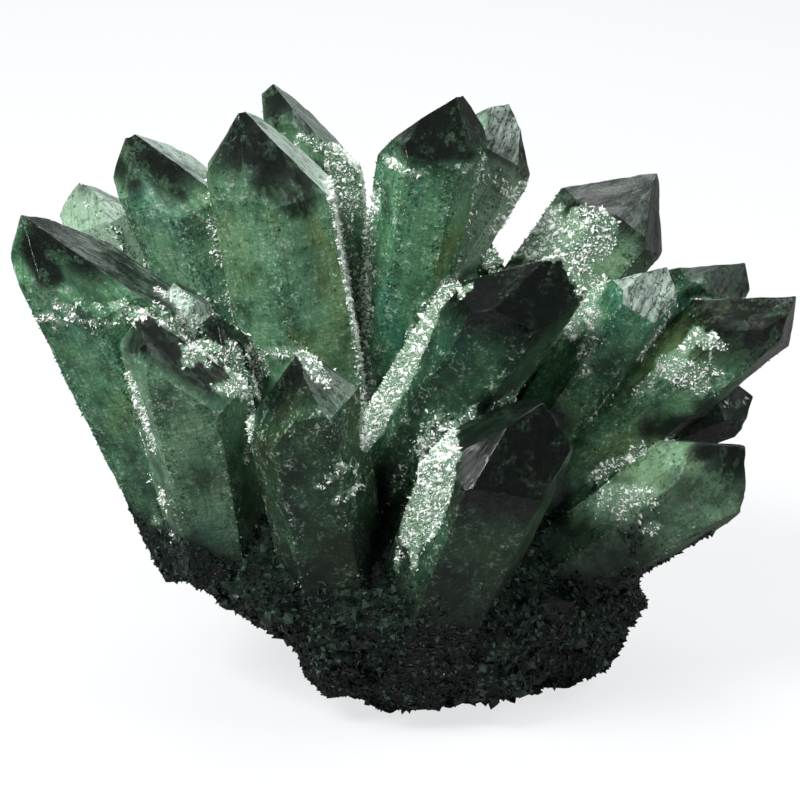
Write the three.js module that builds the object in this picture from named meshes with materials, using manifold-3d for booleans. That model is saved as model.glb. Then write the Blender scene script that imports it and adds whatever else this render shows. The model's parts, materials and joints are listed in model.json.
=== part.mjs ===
// A hand-sized cluster of chlorite quartz: a fan of stout green quartz points on a dark drusy matrix.
// Lengths are millimetres. +Z is up, +X is to the right and +Y is to the back, seen from the front.
// The origin is in the flat foot that the specimen stands on.
import * as THREE from "three";
import { ConvexGeometry } from "three/addons/geometries/ConvexGeometry.js";
import { ImprovedNoise } from "three/addons/math/ImprovedNoise.js";
import { mergeVertices } from "three/addons/utils/BufferGeometryUtils.js";
import Module from "manifold-3d";

const wasm = await Module();
wasm.setup();

// Quartz has six prism faces, and six cap faces that lean in at one fixed angle.
const SIDES = 6;
const CAP_LEAN = THREE.MathUtils.degToRad(38.2);
const SEED = 7;
const TO_THE_BACK = new THREE.Vector3(0, 1, 0);

// Clearance between the quartz and the matrix that grips it.
const GAP = 0.3;

// Corners closer than same are one corner, a corner this far outside a face is still on it, and two
// planes are side by side where the product of their normals is under flat.
const CLOSE = { same: 1e-3, on: 1e-4, flat: 1e-6 };

// The matrix: a lumpy bowl of rock that rises to the left, draws in to a keel there and is cut flat below.
// Crown is how high its upper half stands, as a share of the depth of the lower half.
const ROCK = { middle: [-1, 2, 27], reach: [54, 43, 33], rise: -0.14, keel: 0.9, crown: 0.6 };
const LUMPS = { height: 3.5, grain: 0.06, finer: 3, finerHeight: 0.4, detail: 4 };
const CUT = { width: 200, depth: 100 };

// Stubby crystals all over the rock, tilted at random. None starts lower than clear above the foot.
const GRIT = { count: 100, least: 5, most: 11, tilt: 0.7, clear: 3 };

// A small point is a plain pyramid. Width is a share of its height, half of which is sunk.
const POINT = { faces: 4, width: 1.7 };

// How a crust's points are spread over their face, as a share of its reach, tilted and sized.
const SCATTER = { sideways: 0.5, tilt: 0.5, least: 0.7, most: 1.3 };

// Short crystals round the back of the fan, in a ring of directions from the hub that the fan grows from.
// They take the heights, lengths and rolls in turn, and sunk is the share of a length that is in the rock.
const SPROUTS = { count: 12, start: 6, sweep: 158, hub: [-6, 2, 0], heights: [0.55, 0.1],
  lengths: [34, 42, 27, 38, 30], rolls: [10, 45, 25], slimness: 0.3, sunk: 0.6, foot: 0.9 };

// The big crystals. Root is the foot of the middle line and tip is the point itself, which stands off
// that line by peak, to the right and to the back. Caps set the six cap faces back from the point, the
// first on the side that roll turns it to, counted from the right towards the back. A cap set far back
// is a small face. Foot is the width at the root as a share of the width at the shoulder.
const CRYSTALS = [
  { name: "left_outer", root: [-41, -9, 31], tip: [-79, -16, 111], width: 29, depth: 27, roll: 3,
    peak: [-9, 0], caps: [0, 3, 0, 0, 0, 0], foot: 0.8 },
  { name: "left_back", root: [-30, 6, 22], tip: [-71, 18, 109], width: 20, depth: 18, roll: 10,
    peak: [-3, 0], caps: [0, 2, 0, 2, 0, 2], foot: 0.8 },
  { name: "left_upper", root: [-16, 2, 20], tip: [-59, 6, 122], width: 23, depth: 24, roll: 0,
    peak: [-6, 0], caps: [1.5, 5, 0, 0, 0, 0], foot: 0.7 },
  { name: "tall_left", root: [-12, -4, 18], tip: [-34, -4, 130], width: 25.5, depth: 25, roll: 0,
    peak: [-4, 0], caps: [1, 3, 0, 0, 0, 0], foot: 0.95 },
  { name: "back_top", root: [-8, 14, 20], tip: [-28, 26, 129], width: 20, depth: 20, roll: 0,
    peak: [-7, 0], caps: [0, 3, 0, 3, 0, 3], foot: 0.9 },
  { name: "tall_centre", root: [-12, 2, 17], tip: [12, 2, 132], width: 20, depth: 21, roll: 30,
    peak: [3, 0], caps: [2, 3, 0, 3, 0, 0], foot: 0.6 },
  { name: "back_centre", root: [0, 16, 77], tip: [24, 20, 126], width: 16, depth: 16, roll: 30,
    peak: [-4, 0], caps: [0, 2, 0, 2, 0, 2], foot: 0.9 },
  { name: "right_upper", root: [2, 12, 43], tip: [57, 18, 111], width: 24, depth: 25, roll: 30,
    peak: [1, 0], caps: [0, 3, 0, 0, 2, 0], foot: 0.7 },
  { name: "centre_right", root: [-8, -9, 40], tip: [36, -20, 104], width: 24, depth: 24, roll: 30,
    peak: [6, 0], caps: [0, 0, 0, 2, 0, 3], foot: 0.9 },
  { name: "right_slim", root: [18, 0, 35], tip: [58, 2, 94], width: 15, depth: 17, roll: 30,
    peak: [2, 0], caps: [0, 2, 0, 2, 0, 2], foot: 0.8 },
  { name: "right_back", root: [27, 12, 40], tip: [77, 18, 90], width: 17, depth: 16, roll: 30,
    peak: [3, 0], caps: [0, 2, 0, 2, 0, 2], foot: 0.8 },
  { name: "right_outer", root: [24, -2, 34], tip: [86, 0, 88], width: 18, depth: 21, roll: 30,
    peak: [4, 0], caps: [0, 3, 0, 0, 2, 0], foot: 0.7 },
  { name: "right_ledge", root: [46, 4, 50], tip: [79, 8, 62], width: 12, depth: 14, roll: 0,
    peak: [0, 0], caps: [0, 2, 0, 2, 0, 2], foot: 0.9 },
  { name: "right_low", root: [23, -12, 18], tip: [74, -18, 60], width: 23, depth: 23, roll: 30,
    peak: [0, 0], caps: [0, 3, 0, 3, 0, 3], foot: 0.7 },
  { name: "front_right", root: [1.5, -25, 10], tip: [29, -47, 80.5], width: 28, depth: 27, roll: 40,
    peak: [4.5, 0], caps: [0, 3, 0, 3, 0, 3], foot: 0.8 },
  { name: "front_centre", root: [-10, -23, 10], tip: [-20, -42, 90], width: 22, depth: 21, roll: 30,
    peak: [2, 0], caps: [0, 3, 0, 0, 2, 0], foot: 0.9 },
  { name: "front_left", root: [-38, -19, 33], tip: [-53, -32, 95], width: 24, depth: 22, roll: 30,
    peak: [-7, 0], caps: [0, 3, 0, 0, 2, 0], foot: 0.8 },
  { name: "dark_stub", root: [-30, -14, 46], tip: [-40, -16, 89], width: 11, depth: 11, roll: 0,
    peak: [0, 0], caps: [0, 1, 0, 1, 0, 1], foot: 0.9 },
  { name: "left_block", root: [-38, -10, 62], tip: [-48, -12, 95], width: 11, depth: 10, roll: 10,
    peak: [0, 0], caps: [0, 1, 0, 1, 0, 1], foot: 1 },
  { name: "centre_core", root: [-4, 0, 20], tip: [-2, -8, 58], width: 26, depth: 24, roll: 30,
    peak: [0, 0], caps: [0, 1, 0, 1, 0, 1], foot: 1 },
  { name: "centre_prop", root: [-2, -14, 18], tip: [20, -16, 80], width: 25, depth: 22, roll: 30,
    peak: [0, 0], caps: [0, 1, 0, 1, 0, 1], foot: 1 },
  { name: "right_side", root: [16, 2, 24], tip: [64, 10, 44], width: 17, depth: 17, roll: 30,
    peak: [0, 0], caps: [0, 2, 0, 2, 0, 2], foot: 0.8 },
  { name: "left_side", root: [-26, 4, 20], tip: [-64, 14, 60], width: 19, depth: 18, roll: 30,
    peak: [0, 0], caps: [0, 2, 0, 2, 0, 2], foot: 0.8 },
  { name: "left_low", root: [-24, 8, 18], tip: [-55, 26, 40], width: 17, depth: 16, roll: 30,
    peak: [0, 0], caps: [0, 2, 0, 2, 0, 2], foot: 0.8 },
  { name: "front_stub", root: [12, -12, 16], tip: [38, -30, 28], width: 14, depth: 14, roll: 30,
    peak: [0, 0], caps: [0, 2, 0, 2, 0, 2], foot: 0.8 },
  { name: "rear_left", root: [-24, 16, 24], tip: [-62, 44, 88], width: 22, depth: 22, roll: 0,
    peak: [2, 0], caps: [0, 2, 0, 2, 0, 2], foot: 0.8 },
  { name: "rear_middle", root: [-10, 18, 24], tip: [-20, 52, 100], width: 24, depth: 24, roll: 30,
    peak: [2, 0], caps: [0, 3, 0, 2, 0, 1], foot: 0.8 },
  { name: "rear_tall", root: [6, 16, 26], tip: [14, 54, 94], width: 22, depth: 23, roll: 0,
    peak: [-3, 0], caps: [0, 2, 0, 2, 0, 2], foot: 0.8 },
  { name: "rear_right", root: [14, 14, 28], tip: [46, 46, 88], width: 22, depth: 21, roll: 30,
    peak: [3, 0], caps: [0, 2, 0, 3, 0, 2], foot: 0.8 },
  { name: "rear_outer", root: [22, 12, 28], tip: [68, 36, 70], width: 19, depth: 19, roll: 0,
    peak: [0, 0], caps: [0, 2, 0, 2, 0, 2], foot: 0.8 },
  { name: "rear_low_left", root: [-22, 14, 20], tip: [-60, 50, 52], width: 20, depth: 20, roll: 30,
    peak: [0, 0], caps: [0, 2, 0, 3, 0, 2], foot: 0.8 },
  { name: "rear_low_middle", root: [-6, 20, 20], tip: [-12, 68, 62], width: 21, depth: 20, roll: 0,
    peak: [0, 0], caps: [0, 3, 0, 2, 0, 2], foot: 0.8 },
  { name: "rear_low_right", root: [14, 18, 20], tip: [42, 60, 54], width: 20, depth: 19, roll: 30,
    peak: [0, 0], caps: [0, 2, 0, 2, 0, 3], foot: 0.8 },
];

// Crusts of small points on side faces of the big crystals, counted as the caps are. From and to are
// shares of the crystal's length, and size is how tall the points stand.
const DRUSE = [
  { on: "centre_right", side: 3, from: 0.4, to: 0.84, count: 11, size: 5 },
  { on: "centre_prop", side: 3, from: 0.5, to: 0.75, count: 3, size: 4.5 },
  { on: "front_right", side: 3, from: 0.35, to: 0.82, count: 12, size: 5 },
  { on: "back_top", side: 5, from: 0.45, to: 0.82, count: 5, size: 4.5 },
  { on: "right_upper", side: 3, from: 0.35, to: 0.75, count: 5, size: 4.5 },
  { on: "right_upper", side: 4, from: 0.5, to: 0.75, count: 4, size: 4 },
  { on: "right_slim", side: 3, from: 0.55, to: 0.8, count: 4, size: 4 },
  { on: "right_outer", side: 4, from: 0.35, to: 0.75, count: 5, size: 3.5 },
  { on: "right_low", side: 3, from: 0.4, to: 0.75, count: 5, size: 4 },
  { on: "front_left", side: 3, from: 0.35, to: 0.8, count: 5, size: 3.5 },
  { on: "front_centre", side: 5, from: 0.35, to: 0.72, count: 5, size: 4 },
  { on: "left_outer", side: 5, from: 0.6, to: 0.75, count: 4, size: 4.5 },
  { on: "rear_tall", side: 2, from: 0.4, to: 0.75, count: 4, size: 4.5 },
];

const vector = (xyz) => new THREE.Vector3(...xyz);
const random = THREE.MathUtils.seededRandom;
const between = (least, most) => least + (most - least) * random();
const anyDirection = () => new THREE.Vector3(between(-1, 1), between(-1, 1), between(-1, 1));

// A geometry as a solid that can be joined and cut.
function solidOf(geometry) {
  const bare = new THREE.BufferGeometry().setAttribute("position", geometry.getAttribute("position"));
  if (geometry.index) bare.setIndex(geometry.index);
  const merged = mergeVertices(bare, CLOSE.on);
  return new wasm.Manifold(
    new wasm.Mesh({
      numProp: 3,
      vertProperties: merged.attributes.position.array,
      triVerts: new Uint32Array(merged.index.array),
    }),
  );
}

// The main body of a solid, without its loose crumbs or sealed bubbles.
function mainBody(solid) {
  return solid.decompose().reduce((best, body) => (body.volume() > best.volume() ? body : best));
}

function geometryOf(solid) {
  const mesh = solid.getMesh();
  return new THREE.BufferGeometry()
    .setAttribute("position", new THREE.BufferAttribute(Float32Array.from(mesh.vertProperties), 3))
    .setIndex(new THREE.BufferAttribute(Uint32Array.from(mesh.triVerts), 1));
}

// A crystal's middle line, with the directions across it to the right and to the back.
function frameOf(crystal) {
  const root = vector(crystal.root);
  const tip = vector(crystal.tip);
  const [toRight, toBack] = crystal.peak;
  const frame = { root, tip, along: tip.clone().sub(root).normalize() };
  // The second round takes peak off the line that the first round found.
  for (let round = 0; round < 2; round++) {
    frame.right = new THREE.Vector3().crossVectors(TO_THE_BACK, frame.along).normalize();
    frame.back = new THREE.Vector3().crossVectors(frame.along, frame.right);
    const end = tip.clone().addScaledVector(frame.right, -toRight).addScaledVector(frame.back, -toBack);
    frame.length = end.distanceTo(root);
    frame.along = end.sub(root).normalize();
  }
  return frame;
}

// One of a crystal's sides: the way it faces, square to the middle line, and its distance from that line.
function sideOf(crystal, frame, i) {
  const angle = THREE.MathUtils.degToRad(crystal.roll) + (i * 2 * Math.PI) / SIDES;
  const outward = frame.right.clone().multiplyScalar(Math.cos(angle));
  outward.addScaledVector(frame.back, Math.sin(angle));
  return { outward, reach: (i % 3 === 0 ? crystal.width : crystal.depth) / 2 };
}

// The flat faces that bound a crystal, each as a plane that faces out, moved out by grow.
function facesOf(crystal, grow) {
  const frame = frameOf(crystal);
  const faces = [new THREE.Plane(frame.along.clone().negate(), frame.along.dot(frame.root) - grow)];
  for (let i = 0; i < SIDES; i++) {
    const { outward, reach } = sideOf(crystal, frame, i);
    const flare = (reach * (1 - crystal.foot)) / frame.length;
    const side = outward.clone().addScaledVector(frame.along, -flare).normalize();
    const start = frame.root.clone().addScaledVector(outward, reach * crystal.foot);
    faces.push(new THREE.Plane(side, -side.dot(start) - grow));
    const cap = outward.clone().multiplyScalar(Math.cos(CAP_LEAN));
    cap.addScaledVector(frame.along, Math.sin(CAP_LEAN));
    faces.push(new THREE.Plane(cap, -cap.dot(frame.tip) - crystal.caps[i] - grow));
  }
  return faces;
}

// The point where three planes meet, or null where two of them run side by side.
function meetingPoint(a, b, c) {
  const bc = new THREE.Vector3().crossVectors(b.normal, c.normal);
  const spread = a.normal.dot(bc);
  if (Math.abs(spread) < CLOSE.flat) return null;
  const ca = new THREE.Vector3().crossVectors(c.normal, a.normal);
  const ab = new THREE.Vector3().crossVectors(a.normal, b.normal);
  return bc.multiplyScalar(-a.constant).addScaledVector(ca, -b.constant).addScaledVector(ab, -c.constant)
    .divideScalar(spread);
}

// The corners of the convex body that a set of outward planes bounds.
function cornersOf(faces) {
  const corners = [];
  for (let i = 0; i < faces.length; i++)
    for (let j = i + 1; j < faces.length; j++)
      for (let k = j + 1; k < faces.length; k++) {
        const corner = meetingPoint(faces[i], faces[j], faces[k]);
        if (!corner || faces.some((face) => face.distanceToPoint(corner) > CLOSE.on)) continue;
        if (!corners.some((known) => known.distanceTo(corner) < CLOSE.same)) corners.push(corner);
      }
  return corners;
}

const crystalSolid = (crystal, grow) => solidOf(new ConvexGeometry(cornersOf(facesOf(crystal, grow))));

// A small point, sunk half into what it grows from at place.
function pointSolid({ place, lean, size }, grow) {
  const tall = size + 2 * grow;
  const cone = new THREE.ConeGeometry((tall * POINT.width) / 2, tall, POINT.faces);
  cone.applyQuaternion(new THREE.Quaternion().setFromUnitVectors(new THREE.Vector3(0, 1, 0), lean));
  return solidOf(cone.translate(place.x, place.y, place.z));
}

// The points of one crust, scattered over their face.
function drusePoints(crust) {
  const crystal = CRYSTALS.find(({ name }) => name === crust.on);
  const frame = frameOf(crystal);
  const { outward, reach } = sideOf(crystal, frame, crust.side);
  const sideways = new THREE.Vector3().crossVectors(frame.along, outward);
  return Array.from({ length: crust.count }, () => {
    const share = between(crust.from, crust.to);
    const out = reach * (crystal.foot + (1 - crystal.foot) * share);
    const place = frame.root.clone().addScaledVector(frame.along, share * frame.length)
      .addScaledVector(outward, out)
      .addScaledVector(sideways, between(-SCATTER.sideways, SCATTER.sideways) * out);
    const lean = outward.clone().add(frame.along).addScaledVector(anyDirection(), SCATTER.tilt).normalize();
    return { place, lean, size: crust.size * between(SCATTER.least, SCATTER.most) };
  });
}

const noise = new ImprovedNoise();

// The rock's smooth form in a direction from its middle, moved out by lump.
function rockForm(direction, lump = 0) {
  const point = direction.clone().multiply(vector(ROCK.reach));
  if (point.z > 0) point.z *= ROCK.crown;
  else if (point.x < 0) point.z *= 1 + (ROCK.keel * point.x) / ROCK.reach[0];
  point.addScaledVector(direction, lump);
  point.z += ROCK.rise * point.x;
  return point.add(vector(ROCK.middle));
}

// The rock's lumpy surface in a direction from its middle.
function rockSurface(direction) {
  const far = direction.clone().multiply(vector(ROCK.reach)).multiplyScalar(LUMPS.grain);
  const near = far.clone().multiplyScalar(LUMPS.finer);
  const finer = LUMPS.finerHeight * noise.noise(near.x, near.y, near.z);
  return rockForm(direction, LUMPS.height * (noise.noise(far.x, far.y, far.z) + finer));
}

// The bare rock, a ball pressed into shape.
function rockSolid() {
  const ball = new THREE.IcosahedronGeometry(1, LUMPS.detail);
  const corners = ball.getAttribute("position");
  for (let i = 0; i < corners.count; i++) {
    const point = rockSurface(new THREE.Vector3().fromBufferAttribute(corners, i).normalize());
    corners.setXYZ(i, point.x, point.y, point.z);
  }
  return solidOf(ball);
}

// The grit's points, in an even spiral of directions.
function gritPoints() {
  const turn = Math.PI * (3 - Math.sqrt(5));
  const points = [];
  for (let i = 0; i < GRIT.count; i++) {
    const height = 1 - (2 * i + 1) / GRIT.count;
    const round = Math.sqrt(1 - height * height);
    const direction = new THREE.Vector3(Math.cos(i * turn) * round, Math.sin(i * turn) * round, height);
    const place = rockSurface(direction);
    const lean = direction.clone().addScaledVector(anyDirection(), GRIT.tilt).normalize();
    if (place.z > GRIT.clear) points.push({ place, lean, size: between(GRIT.least, GRIT.most) });
  }
  return points;
}

// The short crystals round the back.
function sprouts() {
  return Array.from({ length: SPROUTS.count }, (_, i) => {
    const turn = THREE.MathUtils.degToRad(SPROUTS.start + (SPROUTS.sweep * (i + 0.5)) / SPROUTS.count);
    const height = SPROUTS.heights[i % SPROUTS.heights.length];
    const start = rockForm(new THREE.Vector3(Math.cos(turn), Math.sin(turn), height).normalize());
    const along = start.clone().sub(vector(SPROUTS.hub)).normalize();
    const length = SPROUTS.lengths[i % SPROUTS.lengths.length];
    const width = length * SPROUTS.slimness;
    return {
      root: start.clone().addScaledVector(along, -SPROUTS.sunk * length).toArray(),
      tip: start.clone().addScaledVector(along, (1 - SPROUTS.sunk) * length).toArray(),
      width, depth: width, roll: SPROUTS.rolls[i % SPROUTS.rolls.length], peak: [0, 0],
      caps: [0, 1, 0, 1, 0, 1], foot: SPROUTS.foot,
    };
  });
}

const quartz = new THREE.MeshStandardMaterial({ color: 0x3f6650, roughness: 0.3, metalness: 0 });
const rock = new THREE.MeshStandardMaterial({ color: 0x2a302c, roughness: 0.85, metalness: 0 });

function named(name, solid, material) {
  const mesh = new THREE.Mesh(geometryOf(solid), material);
  mesh.name = name;
  return mesh;
}

random(SEED);
const crystals = [...CRYSTALS, ...sprouts()];
const crusts = DRUSE.flatMap(drusePoints);
const grit = gritPoints();

// Every crystal and crust as one solid, or the room that they need when moved out by grow.
const quartzSolid = (grow) =>
  wasm.Manifold.union([
    ...crystals.map((crystal) => crystalSolid(crystal, grow)),
    ...crusts.map((point) => pointSolid(point, grow)),
  ]);
const below = new THREE.BoxGeometry(CUT.width, CUT.width, CUT.depth).translate(0, 0, -CUT.depth / 2);
const matrixSolid = wasm.Manifold.union([rockSolid(), ...grit.map((point) => pointSolid(point, 0))])
  .subtract(solidOf(below))
  .subtract(quartzSolid(GAP));

const cluster = new THREE.Group();
cluster.add(named("quartz_crystals", mainBody(quartzSolid(0)), quartz));
cluster.add(named("matrix", mainBody(matrixSolid), rock));

export default cluster;
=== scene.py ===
# %% [markdown]
# # A cluster of chlorite quartz
# The specimen is a fan of some forty quartz crystals on a dark rock, 168 mm wide and 132 mm tall.
# Chlorite, a green mineral, grew into the quartz, so the bodies are a milky green while the tips stayed
# clear and look nearly black. White druse, a crust of tiny quartz points, fills the gaps between them. The
# solids that the part stands on are fixed. This script dresses them: it regrows the crystals with fine
# faces, adds the crusts grain by grain, and gives each surface its finish.

# %% Load the frame
import itertools
import json
import math
from types import SimpleNamespace

import bmesh
import bpy
import numpy as np
from mathutils import Matrix, Vector, noise
from mathutils.bvhtree import BVHTree

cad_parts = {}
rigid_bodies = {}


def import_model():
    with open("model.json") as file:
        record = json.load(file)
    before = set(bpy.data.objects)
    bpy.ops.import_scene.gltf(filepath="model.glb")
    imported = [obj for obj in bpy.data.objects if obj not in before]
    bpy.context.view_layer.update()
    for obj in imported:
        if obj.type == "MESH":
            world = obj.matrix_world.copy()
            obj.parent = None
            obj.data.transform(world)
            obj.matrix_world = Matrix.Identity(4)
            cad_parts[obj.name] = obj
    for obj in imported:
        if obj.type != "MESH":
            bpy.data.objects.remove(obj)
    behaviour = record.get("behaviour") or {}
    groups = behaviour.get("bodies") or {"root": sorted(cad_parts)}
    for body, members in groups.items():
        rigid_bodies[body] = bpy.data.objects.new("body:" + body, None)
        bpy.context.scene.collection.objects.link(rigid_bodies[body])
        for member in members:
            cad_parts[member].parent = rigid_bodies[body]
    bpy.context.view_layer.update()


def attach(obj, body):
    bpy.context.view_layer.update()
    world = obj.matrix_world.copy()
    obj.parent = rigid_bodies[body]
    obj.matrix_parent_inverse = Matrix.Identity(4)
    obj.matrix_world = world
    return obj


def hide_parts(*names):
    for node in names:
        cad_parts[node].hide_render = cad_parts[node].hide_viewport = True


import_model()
MM = 0.001

# %% [markdown]
# ## The crystals
# Every crystal of the specimen is one row, in millimetres. Root is the foot of the middle line and tip is
# the point itself, which stands off that line by peak, to the right and to the back. Width and depth are
# the distances between opposite sides, roll turns the six sides, caps set the six cap faces back from the
# point, and foot is the width at the root as a share of the width at the shoulder. The rows could be read
# back from the solids, but a row says what a crystal is, and the finish needs its axis, tip and sides.

# %% The big crystals
CRYSTAL_ROWS = [
    ("left_outer", (-41, -9, 31), (-79, -16, 111), 29, 27, 3, (-9, 0), (0, 3, 0, 0, 0, 0), 0.8),
    ("left_back", (-30, 6, 22), (-71, 18, 109), 20, 18, 10, (-3, 0), (0, 2, 0, 2, 0, 2), 0.8),
    ("left_upper", (-16, 2, 20), (-59, 6, 122), 23, 24, 0, (-6, 0), (1.5, 5, 0, 0, 0, 0), 0.7),
    ("tall_left", (-12, -4, 18), (-34, -4, 130), 25.5, 25, 0, (-4, 0), (1, 3, 0, 0, 0, 0), 0.95),
    ("back_top", (-8, 14, 20), (-28, 26, 129), 20, 20, 0, (-7, 0), (0, 3, 0, 3, 0, 3), 0.9),
    ("tall_centre", (-12, 2, 17), (12, 2, 132), 20, 21, 30, (3, 0), (2, 3, 0, 3, 0, 0), 0.6),
    ("back_centre", (0, 16, 77), (24, 20, 126), 16, 16, 30, (-4, 0), (0, 2, 0, 2, 0, 2), 0.9),
    ("right_upper", (2, 12, 43), (57, 18, 111), 24, 25, 30, (1, 0), (0, 3, 0, 0, 2, 0), 0.7),
    ("centre_right", (-8, -9, 40), (36, -20, 104), 24, 24, 30, (6, 0), (0, 0, 0, 2, 0, 3), 0.9),
    ("right_slim", (18, 0, 35), (58, 2, 94), 15, 17, 30, (2, 0), (0, 2, 0, 2, 0, 2), 0.8),
    ("right_back", (27, 12, 40), (77, 18, 90), 17, 16, 30, (3, 0), (0, 2, 0, 2, 0, 2), 0.8),
    ("right_outer", (24, -2, 34), (86, 0, 88), 18, 21, 30, (4, 0), (0, 3, 0, 0, 2, 0), 0.7),
    ("right_ledge", (46, 4, 50), (79, 8, 62), 12, 14, 0, (0, 0), (0, 2, 0, 2, 0, 2), 0.9),
    ("right_low", (23, -12, 18), (74, -18, 60), 23, 23, 30, (0, 0), (0, 3, 0, 3, 0, 3), 0.7),
    ("front_right", (1.5, -25, 10), (29, -47, 80.5), 28, 27, 40, (4.5, 0), (0, 3, 0, 3, 0, 3), 0.8),
    ("front_centre", (-10, -23, 10), (-20, -42, 90), 22, 21, 30, (2, 0), (0, 3, 0, 0, 2, 0), 0.9),
    ("front_left", (-38, -19, 33), (-53, -32, 95), 24, 22, 30, (-7, 0), (0, 3, 0, 0, 2, 0), 0.8),
    ("dark_stub", (-30, -14, 46), (-40, -16, 89), 11, 11, 0, (0, 0), (0, 1, 0, 1, 0, 1), 0.9),
    ("left_block", (-38, -10, 62), (-48, -12, 95), 11, 10, 10, (0, 0), (0, 1, 0, 1, 0, 1), 1),
    ("centre_core", (-4, 0, 20), (-2, -8, 58), 26, 24, 30, (0, 0), (0, 1, 0, 1, 0, 1), 1),
    ("centre_prop", (-2, -14, 18), (20, -16, 80), 25, 22, 30, (0, 0), (0, 1, 0, 1, 0, 1), 1),
    ("right_side", (16, 2, 24), (64, 10, 44), 17, 17, 30, (0, 0), (0, 2, 0, 2, 0, 2), 0.8),
    ("left_side", (-26, 4, 20), (-64, 14, 60), 19, 18, 30, (0, 0), (0, 2, 0, 2, 0, 2), 0.8),
    ("left_low", (-24, 8, 18), (-55, 26, 40), 17, 16, 30, (0, 0), (0, 2, 0, 2, 0, 2), 0.8),
    ("front_stub", (12, -12, 16), (38, -30, 28), 14, 14, 30, (0, 0), (0, 2, 0, 2, 0, 2), 0.8),
    ("rear_left", (-24, 16, 24), (-62, 44, 88), 22, 22, 0, (2, 0), (0, 2, 0, 2, 0, 2), 0.8),
    ("rear_middle", (-10, 18, 24), (-20, 52, 100), 24, 24, 30, (2, 0), (0, 3, 0, 2, 0, 1), 0.8),
    ("rear_tall", (6, 16, 26), (14, 54, 94), 22, 23, 0, (-3, 0), (0, 2, 0, 2, 0, 2), 0.8),
    ("rear_right", (14, 14, 28), (46, 46, 88), 22, 21, 30, (3, 0), (0, 2, 0, 3, 0, 2), 0.8),
    ("rear_outer", (22, 12, 28), (68, 36, 70), 19, 19, 0, (0, 0), (0, 2, 0, 2, 0, 2), 0.8),
    ("rear_low_left", (-22, 14, 20), (-60, 50, 52), 20, 20, 30, (0, 0), (0, 2, 0, 3, 0, 2), 0.8),
    ("rear_low_middle", (-6, 20, 20), (-12, 68, 62), 21, 20, 0, (0, 0), (0, 3, 0, 2, 0, 2), 0.8),
    ("rear_low_right", (14, 18, 20), (42, 60, 54), 20, 19, 30, (0, 0), (0, 2, 0, 2, 0, 3), 0.8),
]
print(len(CRYSTAL_ROWS), "big crystals")

# %% [markdown]
# ## What bounds a crystal
# Quartz has six prism faces and six cap faces, and the caps lean in at one fixed angle whatever the
# crystal's size. So a crystal is the space behind thirteen flat faces, the first of them its sunken foot.
# A cylinder and a cone could stand in, but their caps would all meet in the middle, and real points are
# lopsided.

# %% A crystal from its row
SIDES = 6
CAP_LEAN = math.radians(38.2)
TO_THE_BACK = np.array([0.0, 1.0, 0.0])
TO_THE_TOP = np.array([0.0, 0.0, 1.0])
FIRST_SIDE = 1
FIRST_CAP = FIRST_SIDE + SIDES


def unit(vector):
    return vector / np.linalg.norm(vector)


class Crystal:
    """A crystal's middle line, and its faces as outward normals with their distances from the origin."""

    def __init__(self, name, root, tip, width, depth, roll, peak, caps, foot):
        self.name = name
        self.root = np.array(root, float)
        self.tip = np.array(tip, float)
        self.along = unit(self.tip - self.root)
        for _ in range(2):  # the second round takes peak off the line that the first one found
            self.right = unit(np.cross(TO_THE_BACK, self.along))
            self.back = np.cross(self.along, self.right)
            end = self.tip - self.right * peak[0] - self.back * peak[1]
            self.length = np.linalg.norm(end - self.root)
            self.along = unit(end - self.root)
        sides, covers = [], []
        for i in range(SIDES):  # sides 1 and 4 are width apart, the other pairs depth
            angle = math.radians(roll) + i * math.tau / SIDES
            outward = self.right * math.cos(angle) + self.back * math.sin(angle)
            reach = (width if i % 3 == 0 else depth) / 2
            flare = reach * (1 - foot) / self.length
            side = unit(outward - self.along * flare)
            sides.append((side, side @ (self.root + outward * reach * foot)))
            cap = outward * math.cos(CAP_LEAN) + self.along * math.sin(CAP_LEAN)
            covers.append((cap, cap @ self.tip + caps[i]))
        faces = [(-self.along, -self.along @ self.root), *sides, *covers]
        self.normals = np.array([normal for normal, _ in faces])
        self.distances = np.array([distance for _, distance in faces])

    def inside_out(self, points):
        """How far each point stands outside each face."""
        return points @ self.normals.T - self.distances


crystals = [Crystal(*row) for row in CRYSTAL_ROWS]
print("tallest crystal:", max(crystals, key=lambda crystal: crystal.length).name)

# %% [markdown]
# ## The rock's form, and the sprouts on it
# The rock under the fan is a bowl that rises to the left, draws in to a keel there and is cut flat below.
# It is needed early, because a ring of short crystals sprouts from it round the back.

# %% The rock's smooth form
ROCK = {"middle": (-1, 2, 27), "reach": (54, 43, 33), "rise": -0.14, "keel": 0.9, "crown": 0.6}


def rock_form(direction, lump=0.0):
    """The rock's surface in a direction from its middle, moved out by lump."""
    reach = np.array(ROCK["reach"])
    point = direction * reach
    if point[2] > 0:
        point[2] *= ROCK["crown"]
    elif point[0] < 0:
        point[2] *= 1 + ROCK["keel"] * point[0] / reach[0]
    point += direction * lump
    point[2] += ROCK["rise"] * point[0]
    return point + np.array(ROCK["middle"])


print("top of the smooth rock in mm:", round(float(rock_form(TO_THE_TOP)[2]), 1))

# %% The sprouts
SPROUTS = {"count": 12, "start": 6, "sweep": 158, "hub": (-6, 2, 0), "heights": (0.55, 0.1),
           "lengths": (34, 42, 27, 38, 30), "rolls": (10, 45, 25), "slimness": 0.3, "sunk": 0.6,
           "peak": (0, 0), "caps": (0, 1, 0, 1, 0, 1), "foot": 0.9}


def in_turn(values, i):
    return values[i % len(values)]


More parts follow.
